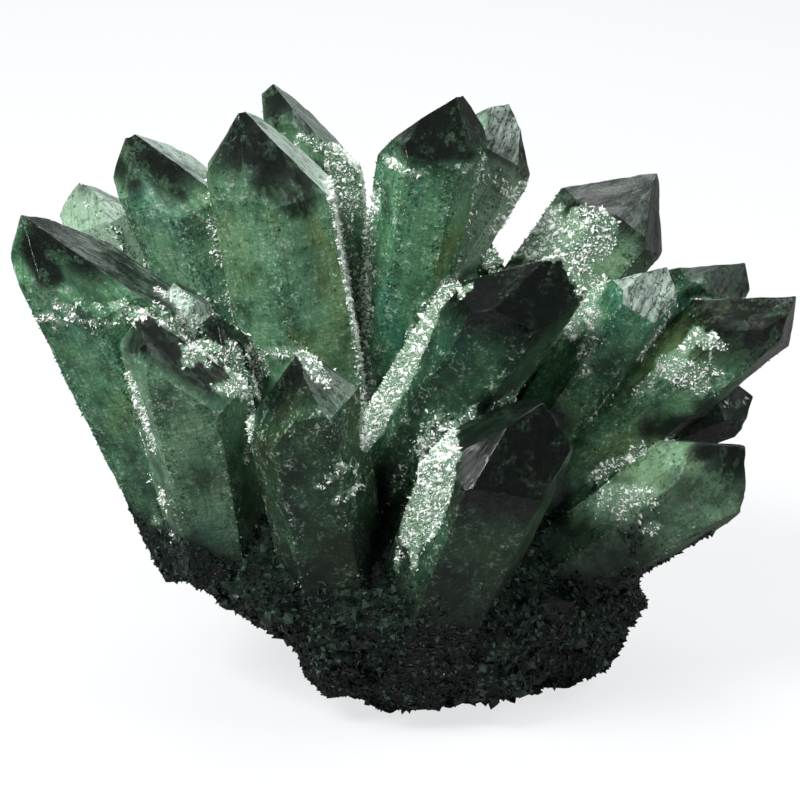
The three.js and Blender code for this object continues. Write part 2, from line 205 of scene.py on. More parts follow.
for i in range(SPROUTS["count"]):
    turn = math.radians(SPROUTS["start"] + SPROUTS["sweep"] * (i + 0.5) / SPROUTS["count"])
    height = in_turn(SPROUTS["heights"], i)
    start = rock_form(unit(np.array([math.cos(turn), math.sin(turn), height])))
    along = unit(start - np.array(SPROUTS["hub"]))
    length = in_turn(SPROUTS["lengths"], i)
    width = length * SPROUTS["slimness"]
    root = start - along * SPROUTS["sunk"] * length
    tip = start + along * (1 - SPROUTS["sunk"]) * length
    crystals.append(Crystal(f"sprout_{i + 1}", root, tip, width, width, in_turn(SPROUTS["rolls"], i),
                            SPROUTS["peak"], SPROUTS["caps"], SPROUTS["foot"]))
print(len(crystals), "crystals with the sprouts")

# %% [markdown]
# ## From faces to a worn crystal
# Real edges are rounded a little and catch the light. The faces are first moved in by the rounding, and
# each corner that they leave then pushes out a few points, one for each face and each pair of faces that
# meet there. The hull of those points has every main face in its place and a narrow strip along every
# edge. The hull is sliced into small cells, so that its faces can be etched: slow swells, growth steps on
# the caps and nicks along the edges.

# %% Corners and the rounded hull
ROUNDING = 0.28
FLAT = 1e-6
ON_FACE = 1e-5
NEARLY_ON_FACE = ON_FACE * 10


def corners_of(normals, distances):
    """The corners of the body behind the faces, each once."""
    corners = []
    for trio in itertools.combinations(range(len(normals)), 3):
        block = normals[list(trio)]
        if abs(np.linalg.det(block)) < FLAT:
            continue
        point = np.linalg.solve(block, distances[list(trio)])
        cut_off = (normals @ point - distances).max() > ON_FACE
        if not cut_off and all(np.linalg.norm(point - known) > ON_FACE for known in corners):
            corners.append(point)
    return corners


def rounded_points(crystal):
    """The points whose hull is the crystal with rounded edges."""
    inner = crystal.distances - ROUNDING
    points = []
    for corner in corners_of(crystal.normals, inner):
        meeting = crystal.normals[np.abs(crystal.normals @ corner - inner) < NEARLY_ON_FACE]
        points += [corner + ROUNDING * normal for normal in meeting]
        points += [corner + ROUNDING * unit(a + b) for a, b in itertools.combinations(meeting, 2)]
    return points


print("points of the first crystal's hull:", len(rounded_points(crystals[0])))

# %% Slicing and etching
CELL = 2.1
SWELL = {"height": 0.3, "size": 14.0}
STEP = {"height": 0.22, "size": 3.2, "shift": 50}
NICK = {"depth": 0.35, "size": 1.7, "shift": 90, "from_edge": 0.5}
SAME_FACE = math.radians(0.4)


def slice_up(body, crystal):
    """Cuts a crystal's faces into cells, along and across its middle line."""
    spots = np.array([vertex.co for vertex in body.verts])
    for direction in (crystal.right, crystal.back, crystal.along):
        least, most = (spots @ direction).min(), (spots @ direction).max()
        for distance in np.arange(least + CELL / 2, most, CELL):
            everything = [*body.verts, *body.edges, *body.faces]
            bmesh.ops.bisect_plane(body, geom=everything, dist=ON_FACE, plane_co=direction * distance,
                                   plane_no=direction)


def grain(place, size):
    """Soft noise around nought with features of a size in millimetres."""
    return noise.noise(Vector(place / size))


def etch(body, crystal):
    """Moves a crystal's skin in and out by swells, steps on the caps and nicks along the edges."""
    body.normal_update()
    spots = np.array([vertex.co for vertex in body.verts])
    outside = np.sort(crystal.inside_out(spots), axis=1)
    on_cap = crystal.inside_out(spots)[:, FIRST_CAP:].max(axis=1) > -ROUNDING
    near_edge = outside[:, -2] > -NICK["from_edge"]
    for vertex, spot, capped, edged in zip(body.verts, spots, on_cap, near_edge):
        lift = SWELL["height"] * grain(spot, SWELL["size"])
        if capped:
            lift += STEP["height"] * grain(spot + STEP["shift"], STEP["size"])
        if edged:
            lift -= NICK["depth"] * max(0.0, grain(spot + NICK["shift"], NICK["size"]))
        vertex.co += vertex.normal * lift


def placed(name, data):
    """A new object in the scene."""
    made = bpy.data.objects.new(name, data)
    bpy.context.scene.collection.objects.link(made)
    return made


def placed_body(name, body):
    """A new object in the scene with the faces of a body, which is used up."""
    mesh = bpy.data.meshes.new(name)
    body.to_mesh(mesh)
    body.free()
    return placed(name, mesh)


def crystal_object(crystal):
    """One worn crystal. A body whose faces still point in after the recalculation is turned round."""
    body = bmesh.new()
    for point in rounded_points(crystal):
        body.verts.new(point)
    hull = bmesh.ops.convex_hull(body, input=body.verts)
    buried = {g for g in hull["geom_interior"] + hull["geom_unused"] if isinstance(g, bmesh.types.BMVert)}
    bmesh.ops.delete(body, geom=list(buried), context="VERTS")
    bmesh.ops.dissolve_limit(body, angle_limit=SAME_FACE, verts=body.verts, edges=body.edges)
    slice_up(body, crystal)
    etch(body, crystal)
    bmesh.ops.triangulate(body, faces=body.faces)
    bmesh.ops.recalc_face_normals(body, faces=body.faces)
    if body.calc_volume(signed=True) < 0:
        bmesh.ops.reverse_faces(body, faces=body.faces)
    return placed_body(crystal.name, body)


grown = [crystal_object(crystal) for crystal in crystals]
print("triangles before they are joined:", sum(len(made.data.polygons) for made in grown))

# %% [markdown]
# ## Grown together
# Crystals of a cluster grow into each other and share no skin inside. The pieces could simply overlap,
# but the clear tips would show the hidden faces. A union leaves one closed surface.

# %% One body of quartz
SLIVER = 0.02


def evaluated_mesh(made):
    """An object's mesh with its modifiers carried out."""
    bpy.context.view_layer.update()
    return bpy.data.meshes.new_from_object(made.evaluated_get(bpy.context.evaluated_depsgraph_get()))


def open_edges(body):
    return [edge for edge in body.edges if len(edge.link_faces) != 2]


def close_up(body):
    """Cuts out the few spots where merged slivers left an edge without its two faces, and fills them."""
    while open_edges(body):
        around = {face for edge in open_edges(body) for corner in edge.verts for face in corner.link_faces}
        bmesh.ops.delete(body, geom=list(around), context="FACES")
        bmesh.ops.delete(body, geom=[edge for edge in body.edges if not edge.link_faces], context="EDGES")
        bmesh.ops.holes_fill(body, edges=open_edges(body), sides=0)
        bmesh.ops.triangulate(body, faces=body.faces)


def joined(pieces, name):
    """The union of the pieces as one closed mesh. The pieces themselves are removed."""
    first, *others = pieces
    group = bpy.data.collections.new("to_join")
    bpy.context.scene.collection.children.link(group)
    for other in others:
        group.objects.link(other)
    join = first.modifiers.new("join", "BOOLEAN")
    join.operation = "UNION"
    join.solver = "MANIFOLD"
    join.operand_type = "COLLECTION"
    join.collection = group
    body = bmesh.new()
    body.from_mesh(evaluated_mesh(first))
    bmesh.ops.dissolve_degenerate(body, edges=body.edges, dist=SLIVER)
    bmesh.ops.triangulate(body, faces=body.faces)
    close_up(body)
    volume = body.calc_volume(signed=True) / 1000
    print(f"{name}: {volume:.0f} cubic centimetres, {len(open_edges(body))} open edges")
    for piece in pieces:
        bpy.data.objects.remove(piece)
    bpy.data.collections.remove(group)
    return placed_body(name, body)


quartz = joined(grown, "quartz_points")
print("triangles in one body:", len(quartz.data.polygons))

# %% [markdown]
# ## What the surface knows
# The finish changes from crystal to crystal and along each one: clear at the tip, milky below, dark at the
# root, where the darkening is painted shade. A texture alone can't follow that, so each corner of the mesh
# stores a few facts, worked out from the rows above: its place in its own crystal's frame, its place along
# and across its own face, and how far it is above or below the shoulder, the line where the caps meet the
# prism. They are stored for each face's corners and not for each vertex, because a vertex in a valley
# belongs to two crystals.

# %% Who owns each face
def numbers(items, field, width=1):
    """One field of all items of a mesh as an array."""
    values = np.zeros(len(items) * width, np.float32)
    items.foreach_get(field, values)
    return values.reshape(-1, width) if width > 1 else values


spots = numbers(quartz.data.vertices, "co", 3).astype(float)
centres = numbers(quartz.data.polygons, "center", 3).astype(float)
face_owner = np.argmin([np.abs(crystal.inside_out(centres).max(axis=1)) for crystal in crystals], axis=0)
clearance = np.array([crystal.inside_out(spots).max(axis=1) for crystal in crystals])
spot_owner = np.abs(clearance).argmin(axis=0)
to_neighbour = np.sort(clearance, axis=0)[1]
corner_spot = np.zeros(len(quartz.data.loops), np.int32)
quartz.data.loops.foreach_get("vertex_index", corner_spot)
corner_owner = np.repeat(face_owner, 3)
face_side = np.zeros(len(centres), int)
for i, crystal in enumerate(crystals):
    face_side[face_owner == i] = crystal.inside_out(centres[face_owner == i]).argmax(axis=1)
corner_side = np.repeat(face_side, 3)
print("faces of the biggest crystal:", np.bincount(face_owner).max())

# %% [markdown]
# ## How the crystals differ
# Clear below says how many millimetres below the shoulder the clear tip still reaches, or with a minus how
# far above it ends. The two shades run from blue-green to olive, and from murky to milky. Etched faces are
# counted as 1 to 6 for the sides and 7 to 12 for the caps, anticlockwise from the roll, each with how
# etched and how pale it is. The paleness is partly painted light, which lightens caps that the lamps light
# too little. Crystals that the photograph doesn't show take their shades by chance, from a fixed seed.

# %% Clear tips, shades and etched faces
CLEAR_BELOW = {"right_upper": 2, "left_outer": -4, "tall_left": -1, "left_upper": -3, "tall_centre": 1,
               "back_centre": 1, "centre_right": 4, "right_outer": 6, "front_right": 4, "front_left": -1,
               "dark_stub": 8, "right_low": -4, "right_slim": -4, "front_centre": -3, "left_back": -6}
USUALLY_CLEAR_BELOW = 0.0
SHADES = {"left_outer": (-0.1, 0.05), "left_back": (0.5, 0.85), "left_upper": (-0.3, 0.3),
          "tall_left": (0.3, 0.25), "back_top": (0.1, 0.3), "tall_centre": (0.0, -0.05),
          "back_centre": (-0.6, 0.9), "right_upper": (0.5, 0.6), "centre_right": (-0.1, -0.65),
          "right_slim": (-0.2, -0.1), "right_back": (-0.1, 0.0), "right_outer": (0.4, 0.1),
          "right_low": (0.1, 0.5), "front_right": (0.2, -0.65), "front_centre": (0.4, -0.7),
          "front_left": (0.0, 0.35), "left_block": (-0.5, 1.0), "dark_stub": (0.0, -0.8),
          "right_ledge": (0.0, -0.6), "centre_core": (0.2, -0.7), "centre_prop": (0.2, -0.7)}
USUAL_SHADES = (-0.5, -0.3), (0.5, 0.3)
# The paleness is partly painted light. It lightens caps that the lamps light too little, most of all
# tall_left's right cap.
ETCHED_FACES_AND_PAINTED_LIGHT = {
    "left_outer": {7: (0.9, 0.1), 10: (0.6, 0.6)},
    "left_upper": {7: (0.95, 0.75)},
    "tall_left": {7: (1, 1.5)},
    "back_top": {7: (0.7, 0.95), 12: (0.6, 0.4)},
    "left_back": {7: (0.8, 0.8), 12: (0.7, 0.8)},
    "back_centre": {11: (0.95, 0.55)},
    "right_upper": {10: (0.7, -0.1), 11: (0.6, 0.45), 12: (0.5, 0.2)},
    "right_slim": {10: (1, 0.75), 11: (1, 0.6)},
    "right_back": {9: (0.6, -0.15), 10: (0.5, -0.15)},
    "right_ledge": {10: (0.4, 0.25), 11: (0.3, 0.15)},
    "front_centre": {12: (0.35, 0.6)},
    "left_block": {5: (0.7, 1.0), 6: (0.7, 0.9), 11: (0.8, 1.1), 12: (0.8, 1.1)},
}
UNETCHED = (0, 0)
print("etched faces that are noted down:", sum(len(faces) for faces in ETCHED_FACES_AND_PAINTED_LIGHT.values()))

# %% Facts that are stored at the corners
PATTERN_SHIFT = 60.0
FACE_SHIFT = 4.3
SHADE_SEED = 11


def store(mesh, name, values, kind="FLOAT", domain="POINT"):
    """Keeps a value for each vertex or corner, where the finish and the sowing can read it."""
    field = "vector" if kind == "FLOAT_VECTOR" else "value"
    attribute = mesh.attributes.new(name, kind, domain)
    attribute.data.foreach_set(field, np.ascontiguousarray(values, np.float32).ravel())


random = np.random.default_rng(SHADE_SEED)
place, slope = (np.zeros((len(corner_spot), 3)) for _ in range(2))
clear, tone, milk, etched, paleness = (np.zeros(len(corner_spot)) for _ in range(5))
for i, crystal in enumerate(crystals):
    mine = corner_owner == i
    here = spots[corner_spot[mine]]
    outside = crystal.inside_out(here)
    axes = np.array([crystal.right, crystal.back, crystal.along])
    place[mine] = (here - crystal.root) @ axes.T + i * PATTERN_SHIFT
    above = outside[:, FIRST_CAP:].max(axis=1) - outside[:, FIRST_SIDE:FIRST_CAP].max(axis=1)
    clear[mine] = above + CLEAR_BELOW.get(crystal.name, USUALLY_CLEAR_BELOW)
    tone[mine], milk[mine] = SHADES.get(crystal.name, random.uniform(*USUAL_SHADES))
    for side in range(FIRST_SIDE, FIRST_CAP + SIDES):
        there = mine & (corner_side == side)
        level = unit(np.cross(crystal.along, crystal.normals[side]))
        uphill = np.cross(crystal.normals[side], level)
        on_face = spots[corner_spot[there]] @ np.array([level, uphill]).T
        apart = np.full(len(on_face), i * PATTERN_SHIFT + side * FACE_SHIFT)
        slope[there] = np.column_stack([on_face, apart])
        etched[there], paleness[there] = ETCHED_FACES_AND_PAINTED_LIGHT.get(crystal.name, {}).get(side, UNETCHED)
facts = {"clear": clear, "tone": tone, "milk": milk, "etched": etched, "paleness": paleness}
for name, values in facts.items():
    store(quartz.data, name, values, domain="CORNER")
for name, values in (("place", place), ("slope", slope)):
    store(quartz.data, name, values, "FLOAT_VECTOR", "CORNER")
print("share of the skin that is etched:", round(float((etched > 0).mean()), 3))

# %% [markdown]
# ## What the photograph shows
# Where the druse, the dark clear patches and the dark feet lie is a matter of record, so they are noted
# down as brush strokes in the photograph, crystal by crystal: where a stroke starts and ends, how wide it
# is to each side, in pixels, and how strong. The dark feet are painted shade, and some of the dark clear
# patches lie in shadow and paint that shade too. A stroke paints only what the camera of the photograph
# sees.
# That is found by a ray from the camera to each spot of the mesh. Faces that the photograph doesn't show
# follow a rule instead.

# %% The photograph's camera
DISTANCE = 600.0
ELEVATION = math.radians(20)
AIM = np.array([0.0, 0.0, 64.0])
PIXELS = 2727.0
PICTURE_MIDDLE = 400.0
FORWARD = np.array([0.0, math.cos(ELEVATION), -math.sin(ELEVATION)])
UPWARD = np.array([0.0, math.sin(ELEVATION), math.cos(ELEVATION)])
EYE = AIM - FORWARD * DISTANCE
REACHED = 0.6


def pixels_of(points):
    """Where points in millimetres lie in the photograph."""
    away = (points - AIM) @ FORWARD + DISTANCE
    across = points[:, 0] * PIXELS / away
    upward = (points - AIM) @ UPWARD * PIXELS / away
    return np.stack([PICTURE_MIDDLE + across, PICTURE_MIDDLE - upward], axis=1)


def seen_from_the_eye(mesh, points):
    """1 for each point that nothing hides from the photograph's camera."""
    skin = BVHTree.FromPolygons([vertex.co for vertex in mesh.vertices],
                                [face.vertices for face in mesh.polygons])
    hits = [skin.ray_cast(Vector(EYE), Vector(unit(point - EYE)))[3] for point in points]
    far = np.linalg.norm(points - EYE, axis=1)
    return np.array([1.0 if hit is None or hit > away - REACHED else 0.0 for hit, away in zip(hits, far)])


seen = seen_from_the_eye(quartz.data, spots)
picture = pixels_of(spots)
print("share of the surface that the photograph shows:", round(seen.mean(), 2))

# %% Strokes
WHITE_STROKES = {
    "left_outer": [((30, 318), (50, 314), 5, 1), ((55, 303), (72, 314), 5, 1),
        ((80, 304), (100, 307), 4, 0.9), ((115, 306), (143, 313), 6, 1),
        ((60, 322), (130, 324), 7, 0.5)],
    "left_back": [((85, 205), (120, 240), 8, 0.4)],
    "left_block": [((163, 292), (180, 296), 5, 1), ((188, 300), (196, 322), 5, 0.8),
        ((155, 303), (160, 322), 5, 0.6), ((168, 318), (186, 330), 9, 0.55)],
    "front_left": [((128, 372), (133, 385), 3, 0.9), ((133, 385), (147, 425), 4, 1),
        ((147, 425), (155, 450), 3.5, 0.9), ((160, 490), (165, 510), 4, 0.8),
        ((158, 520), (172, 540), 7, 1)],
    "left_hollow": [((186, 350), (212, 347), 6, 0.9), ((186, 362), (198, 352), 5, 1),
        ((205, 368), (222, 355), 4, 0.8), ((222, 350), (236, 362), 5, 1),
        ((228, 340), (240, 358), 5, 0.9), ((238, 372), (252, 392), 10, 1),
        ((252, 350), (262, 368), 8, 1), ((215, 388), (245, 394), 6, 0.8), ((252, 395), (248, 440), 4, 1),
        ((247, 440), (246, 462), 3, 0.9)],
    "tall_left": [((210, 217), (216, 262), 3.5, 1), ((216, 262), (222, 300), 3, 0.6),
        ((300, 137), (328, 150), 6, 0.7), ((330, 152), (365, 160), 7, 1),
        ((340, 168), (368, 205), 14, 1), ((334, 185), (346, 240), 9, 1), ((346, 240), (362, 330), 11, 1),
        ((367, 200), (366, 330), 4, 1), ((357, 330), (372, 400), 8, 0.9), ((361, 367), (368, 400), 6, 1),
        ((368, 400), (366, 445), 7, 1)],
    "tall_centre": [((388, 160), (404, 172), 6, 1), ((405, 172), (432, 172), 4, 0.6),
        ((458, 165), (468, 170), 4, 0.8), ((480, 150), (487, 160), 3, 0.8),
        ((382, 175), (374, 240), 4, 0.45), ((374, 240), (370, 330), 5, 0.45),
        ((482, 165), (470, 240), 6, 0.55), ((470, 240), (452, 290), 6, 0.45)],
    "back_centre": [((497, 178), (512, 195), 6, 0.9), ((512, 190), (528, 182), 5, 0.8),
        ((500, 200), (490, 235), 6, 0.5), ((535, 195), (525, 235), 4, 0.6),
        ((514, 198), (506, 236), 8, 0.6)],
    "right_upper": [((555, 212), (520, 235), 8, 0.9), ((520, 235), (490, 262), 8, 1),
        ((575, 210), (600, 212), 5, 0.9), ((600, 212), (614, 224), 5, 0.8),
        ((530, 238), (596, 240), 22, 1), ((507, 247), (556, 237), 11, 1),
        ((575, 255), (585, 285), 14, 0.8)],
    "centre_right": [((450, 285), (428, 315), 9, 1), ((428, 315), (408, 360), 11, 1),
        ((408, 360), (385, 400), 12, 1), ((385, 400), (372, 430), 12, 1),
        ((462, 293), (470, 288), 4, 0.9)],
    "right_slim": [((603, 280), (588, 305), 5, 1), ((588, 305), (570, 335), 8, 0.9),
        ((595, 315), (590, 350), 8, 0.8), ((580, 350), (586, 372), 6, 0.9)],
    "right_outer": [((677, 304), (640, 357), 3, 0.6), ((695, 335), (720, 345), 8, 0.9),
        ((665, 365), (700, 385), 12, 0.8), ((700, 365), (725, 375), 8, 0.6),
        ((655, 375), (640, 395), 10, 0.5), ((688, 346), (664, 368), 8, 0.6)],
    "right_ledge": [((730, 405), (745, 400), 6, 0.5)],
    "right_low": [((592, 478), (640, 450), 7, 1), ((600, 490), (652, 498), 11, 0.8),
        ((605, 515), (648, 532), 14, 0.8), ((605, 545), (615, 558), 6, 0.7)],
    "front_right": [((477, 405), (452, 428), 3, 1), ((450, 430), (440, 446), 9, 1),
        ((440, 450), (434, 490), 19, 1), ((434, 490), (418, 530), 19, 1),
        ((418, 530), (404, 562), 13, 1), ((403, 565), (402, 580), 7, 1),
        ((552, 538), (530, 564), 2.5, 0.6), ((526, 570), (492, 618), 2.5, 0.5)],
    "front_centre": [((268, 352), (300, 347), 5, 1), ((302, 354), (326, 382), 8, 0.8),
        ((322, 487), (345, 465), 4, 0.9), ((345, 465), (360, 474), 4, 0.8),
        ((335, 500), (362, 488), 4, 0.9)],
}
# Mostly clear tips, which read dark. A few strokes, beside tall_left's ridge and in the centre gap, lie
# where shadow falls and paint that shade as dark clear quartz.
CLEAR_AND_SHADE_STROKES = {
    "left_outer": [((32, 245), (50, 275), 14, 1), ((60, 275), (100, 300), 9, 0.5)],
    "left_upper": [((118, 165), (135, 185), 12, 0.7), ((127, 150), (180, 195), 9, 0.7)],
    "tall_left": [((240, 118), (215, 150), 9, 0.7), ((250, 120), (268, 185), 7, 0.8),
        ((262, 180), (300, 205), 15, 0.7), ((250, 125), (310, 190), 9, 0.9)],
    "back_top": [((275, 95), (275, 125), 8, 0.9)],
    "tall_centre": [((440, 110), (435, 140), 24, 1), ((410, 148), (465, 152), 10, 1)],
    "back_centre": [((520, 150), (525, 175), 8, 0.9), ((500, 170), (500, 185), 6, 0.8)],
    "right_upper": [((565, 205), (640, 205), 10, 0.9)],
    "centre_right": [((470, 282), (560, 262), 12, 1), ((560, 262), (575, 300), 9, 0.9),
        ((510, 325), (545, 325), 14, 0.5)],
    "right_back": [((690, 295), (745, 285), 8, 0.9)],
    "right_outer": [((745, 300), (792, 302), 10, 1), ((725, 325), (745, 345), 14, 0.7)],
    "right_ledge": [((650, 428), (735, 425), 12, 0.9), ((700, 405), (745, 415), 9, 0.7)],
    "right_low": [((700, 452), (742, 452), 13, 0.8), ((690, 492), (738, 490), 20, 0.45)],
    "front_left": [((147, 325), (180, 343), 11, 1), ((133, 345), (172, 350), 8, 1)],
    "dark_stub": [((200, 340), (225, 338), 12, 1)],
    "front_right": [((490, 415), (550, 425), 22, 0.75), ((480, 470), (550, 490), 22, 0.4),
        ((560, 440), (562, 520), 8, 0.8)],
    "centre_gap_shade": [((385, 470), (375, 560), 6, 0.7)],
}
# Painted shade: these strokes darken the feet of the crystals near the rock, and they also say where the
# dark grit is sown.
FOOT_SHADE_STROKES = {
    "left": [((112, 500), (160, 565), 13, 1), ((160, 545), (250, 588), 17, 1),
        ((190, 585), (300, 612), 20, 1)],
    "middle": [((290, 606), (400, 606), 13, 0.9), ((388, 575), (372, 640), 12, 0.9),
        ((380, 655), (520, 652), 26, 1)],
    "right": [((520, 640), (640, 600), 20, 0.7), ((560, 600), (640, 575), 9, 0.5),
        ((498, 640), (540, 575), 7, 0.6)],
}
CRISP = 3.0
SOFT = 11.0
NOTICEABLE = 0.3


def smooth(values, low, high):
    """0 below low, 1 above high and an easy curve between them."""
    share = np.clip((values - low) / (high - low), 0, 1)
    return share * share * (3 - 2 * share)


def painted(strokes, rim):
    """How strongly the strokes, with rims that soft, cover each spot."""
    paint = np.zeros(len(picture))
    for start, end, half_width, amount in itertools.chain.from_iterable(strokes.values()):
        start, run = np.array(start, float), np.array(end, float) - np.array(start, float)
        share = np.clip((picture - start) @ run / (run @ run), 0, 1)
        off = np.linalg.norm(picture - start - share[:, None] * run, axis=1)
        paint = np.maximum(paint, amount * (1 - smooth(off, half_width - rim, half_width + rim)))
    return paint * seen


white_paint = painted(WHITE_STROKES, CRISP)
# The clear strokes also paint some shade as dark clear quartz.
clear_paint = painted(CLEAR_AND_SHADE_STROKES, SOFT)
# Painted shade at the feet of the crystals.
foot_shade_paint = painted(FOOT_SHADE_STROKES, SOFT)
store(quartz.data, "clear_paint", clear_paint)
print("share under white strokes:", round(float((white_paint > NOTICEABLE).mean()), 3))

# %% [markdown]
# ## Where the druse grew out of sight
# Druse needs shelter, so round the back it fills the valleys between crystals, hangs in a fringe below
# the caps and covers the faces that look up. The valleys follow from how near the next crystal is. Each
# pair of numbers says where a mask begins and where it is full, mostly in millimetres, and two soft
# noises, ragged and wide, shift the borders by as much as the tables say, so that none of them runs
# straight.

# %% Where the crystals are crusted and frosted
RAGGED = 4.0
WIDE = 11.0
VALLEY = (0.72, 2.4)
FRINGE = (0.6, 3.6)
FRINGE_RIMS = (0.8, 1)
CAP_RIM = (0, 2)
CRUST_BY_RULE = {"fringe": 0.85, "covered": 0.7, "valley": 0.8, "seen_valley": 0.45}
GAPS = {"least": 0.45, "rim": (-0.2, 0.15)}
DRUSE_FLOOR = (34, 54)
LOW = {"rim": (14, 40), "ragged": 14, "wide": 22, "valley": 9}
RAGGED_BY = {"below": 2.0, "valley": 1.2, "floor": 12, "grime": 0.5, "edge": 2}
FOOT_SHADE_RIM = (0.2, 0.7)
IN_THE_OPEN = (-0.06, 0.0)
OUT_OF_THE_ROCK = (-0.12, -0.04)
FROST_RIM = (-3.2, -0.4)
COVERED = {"rear_tall": (3, 2), "rear_middle": (2, 3), "rear_right": (2,), "rear_left": (2, 3),
           "rear_low_middle": (2,), "left_back": (3, 4)}
FROSTY = {"left_outer": 1, "tall_centre": 1, "left_upper": 0.8, "right_upper": 1, "right_low": 0.8,
          "right_outer": 0.6, "tall_left": 0.5, "centre_right": 0.2, "front_right": 0.25,
          "front_centre": 0.45, "front_left": 0.7}
USUALLY_FROSTY = 0.6


def grains_of(points, size):
    """The soft noise at each of the points."""
    return np.array([grain(point, size) for point in points])


def rock_depth(points):
    """How far points stand outside the smooth rock, in shares of its size."""
    away = points - np.array(ROCK["middle"])
    away[:, 2] -= ROCK["rise"] * away[:, 0]
    lower = 1 + ROCK["keel"] * np.minimum(away[:, 0], 0) / ROCK["reach"][0]
    away[:, 2] /= np.where(away[:, 2] > 0, ROCK["crown"], lower)
    return np.linalg.norm(away / np.array(ROCK["reach"]), axis=1) - 1


ragged = grains_of(spots, RAGGED)
wide = grains_of(spots, WIDE)
depth_in_rock = rock_depth(spots)
in_the_open = smooth(depth_in_rock, *IN_THE_OPEN)
print("share of the skin clear of the rock:", round(float(in_the_open.mean()), 2))

# %% The masks that the grains are sown by
to_edge, hidden_druse, frosty = (np.zeros(len(spots)) for _ in range(3))
for i, crystal in enumerate(crystals):
    mine = np.flatnonzero(spot_owner == i)
    outside = crystal.inside_out(spots[mine])
    to_edge[mine] = np.sort(outside, axis=1)[:, -2]
    below = outside[:, FIRST_SIDE:FIRST_CAP].max(axis=1) - outside[:, FIRST_CAP:].max(axis=1)
    below += ragged[mine] * RAGGED_BY["below"]
    fringe = smooth(below, FRINGE[0] - FRINGE_RIMS[0], FRINGE[0])
    fringe *= 1 - smooth(below, FRINGE[1] - FRINGE_RIMS[1], FRINGE[1] + FRINGE_RIMS[1])
    on_face = np.isin(outside.argmax(axis=1), COVERED.get(crystal.name, ())) * smooth(below, *CAP_RIM)
    hidden_druse[mine] = np.maximum(fringe * CRUST_BY_RULE["fringe"], on_face * CRUST_BY_RULE["covered"])
    frosty[mine] = FROSTY.get(crystal.name, USUALLY_FROSTY) * smooth(below, *CAP_RIM)
store(quartz.data, "to_edge", to_edge)
valley = 1 - smooth(to_neighbour + ragged * RAGGED_BY["valley"], *VALLEY)
hidden_druse = np.maximum(hidden_druse, valley * CRUST_BY_RULE["valley"]) * (1 - seen)
hidden_druse *= GAPS["least"] + (1 - GAPS["least"]) * smooth(wide, *GAPS["rim"])
crust = np.maximum(hidden_druse, np.maximum(white_paint, valley * seen * CRUST_BY_RULE["seen_valley"]))
crust *= smooth(spots[:, 2] + ragged * RAGGED_BY["floor"], *DRUSE_FLOOR) * in_the_open
level = spots[:, 2] + ragged * LOW["ragged"] + wide * LOW["wide"] - LOW["valley"] * valley
# Painted shade at the feet, frayed by noise; it darkens the quartz and also draws the dark grit.
foot_shade_frayed = smooth(foot_shade_paint + wide + ragged * RAGGED_BY["grime"], *FOOT_SHADE_RIM)
low = np.maximum(1 - smooth(level, *LOW["rim"]), foot_shade_paint * foot_shade_frayed)
frosted = smooth(to_edge + ragged * RAGGED_BY["edge"], *FROST_RIM) * frosty * in_the_open
masks = {
    "crust": crust,
    "skirt": low * smooth(depth_in_rock, *OUT_OF_THE_ROCK),
    "frosted": frosted * (1 - low) * (1 - clear_paint),
    "grime": foot_shade_paint,
}
for name, values in masks.items():
    store(quartz.data, name, values)
    print(name, "covers", round(float((values > NOTICEABLE).mean()), 3))

# %% [markdown]
# ## The rock
# The matrix is a crumbly lump, so a fine ball is pressed into the rock's form and roughened at three
# scales. Everything under the foot plane is laid flat on it, which is the saw cut that the specimen
# stands on.

# %% The rock's skin
ROCK_LUMPS = [(3.5, 17.0), (2.2, 6.0), (1.1, 2.4)]
LUMP_SHIFT = 40
ROCK_DETAIL = 7
GRIT_ABOVE = (1.2, 3.5)
GRIT_PAST_QUARTZ = (-0.8, 0.2)


def rock_lump(direction):
    """How far the rough rock stands out past its smooth form."""
    spot = direction * np.array(ROCK["reach"])
    return sum(height * grain(spot + LUMP_SHIFT * i, size) for i, (height, size) in enumerate(ROCK_LUMPS))


def rock_object():
    """The rough rock with its flat foot."""
    ball = bmesh.new()
    bmesh.ops.create_icosphere(ball, subdivisions=ROCK_DETAIL, radius=1)
    for vertex in ball.verts:
        direction = np.array(vertex.co)
        spot = rock_form(direction, rock_lump(direction))
        vertex.co = (spot[0], spot[1], max(spot[2], 0.0))
    return placed_body("rock", ball)


rock = rock_object()
rock_spots = numbers(rock.data.vertices, "co", 3).astype(float)
rock_clearance = np.min([crystal.inside_out(rock_spots).max(axis=1) for crystal in crystals], axis=0)
grit_room = smooth(rock_spots[:, 2], *GRIT_ABOVE) * smooth(rock_clearance, *GRIT_PAST_QUARTZ)
store(rock.data, "grit_room", grit_room)
print("triangles of the rock:", len(rock.data.polygons))

# %% [markdown]
# ## Painting with signals
# A finish is a tree of nodes, but most of it is arithmetic on a few masks. A small class wraps one
# socket, so that a sum or a product of signals is written as Python and adds its own Math nodes. Colours
# go through Mix nodes, because a Math node would turn them grey. The tree that sows the grains and the
# studio's background are built in the same way.

# %% Signals and trees
NOISE_MIDDLE = 0.5


class Signal:
    """One socket on its way through a tree."""

    def __init__(self, tree, socket):
        self.tree = tree
        self.socket = socket

    def output(self, name):
        """Another output of the same node."""
        return Signal(self.tree, self.socket.node.outputs[name])

    def swing(self, reach):
        """A noise made to swing around nought, by up to half of reach to each side."""
        return (self - NOISE_MIDDLE) * reach

    def __add__(self, other):
        return self.tree.maths("ADD", self, other)

    def __sub__(self, other):
        return self.tree.maths("SUBTRACT", self, other)

    def __rsub__(self, other):
        return self.tree.maths("SUBTRACT", other, self)

    def __mul__(self, other):
        return self.tree.maths("MULTIPLY", self, other)

    __radd__ = __add__
    __rmul__ = __mul__


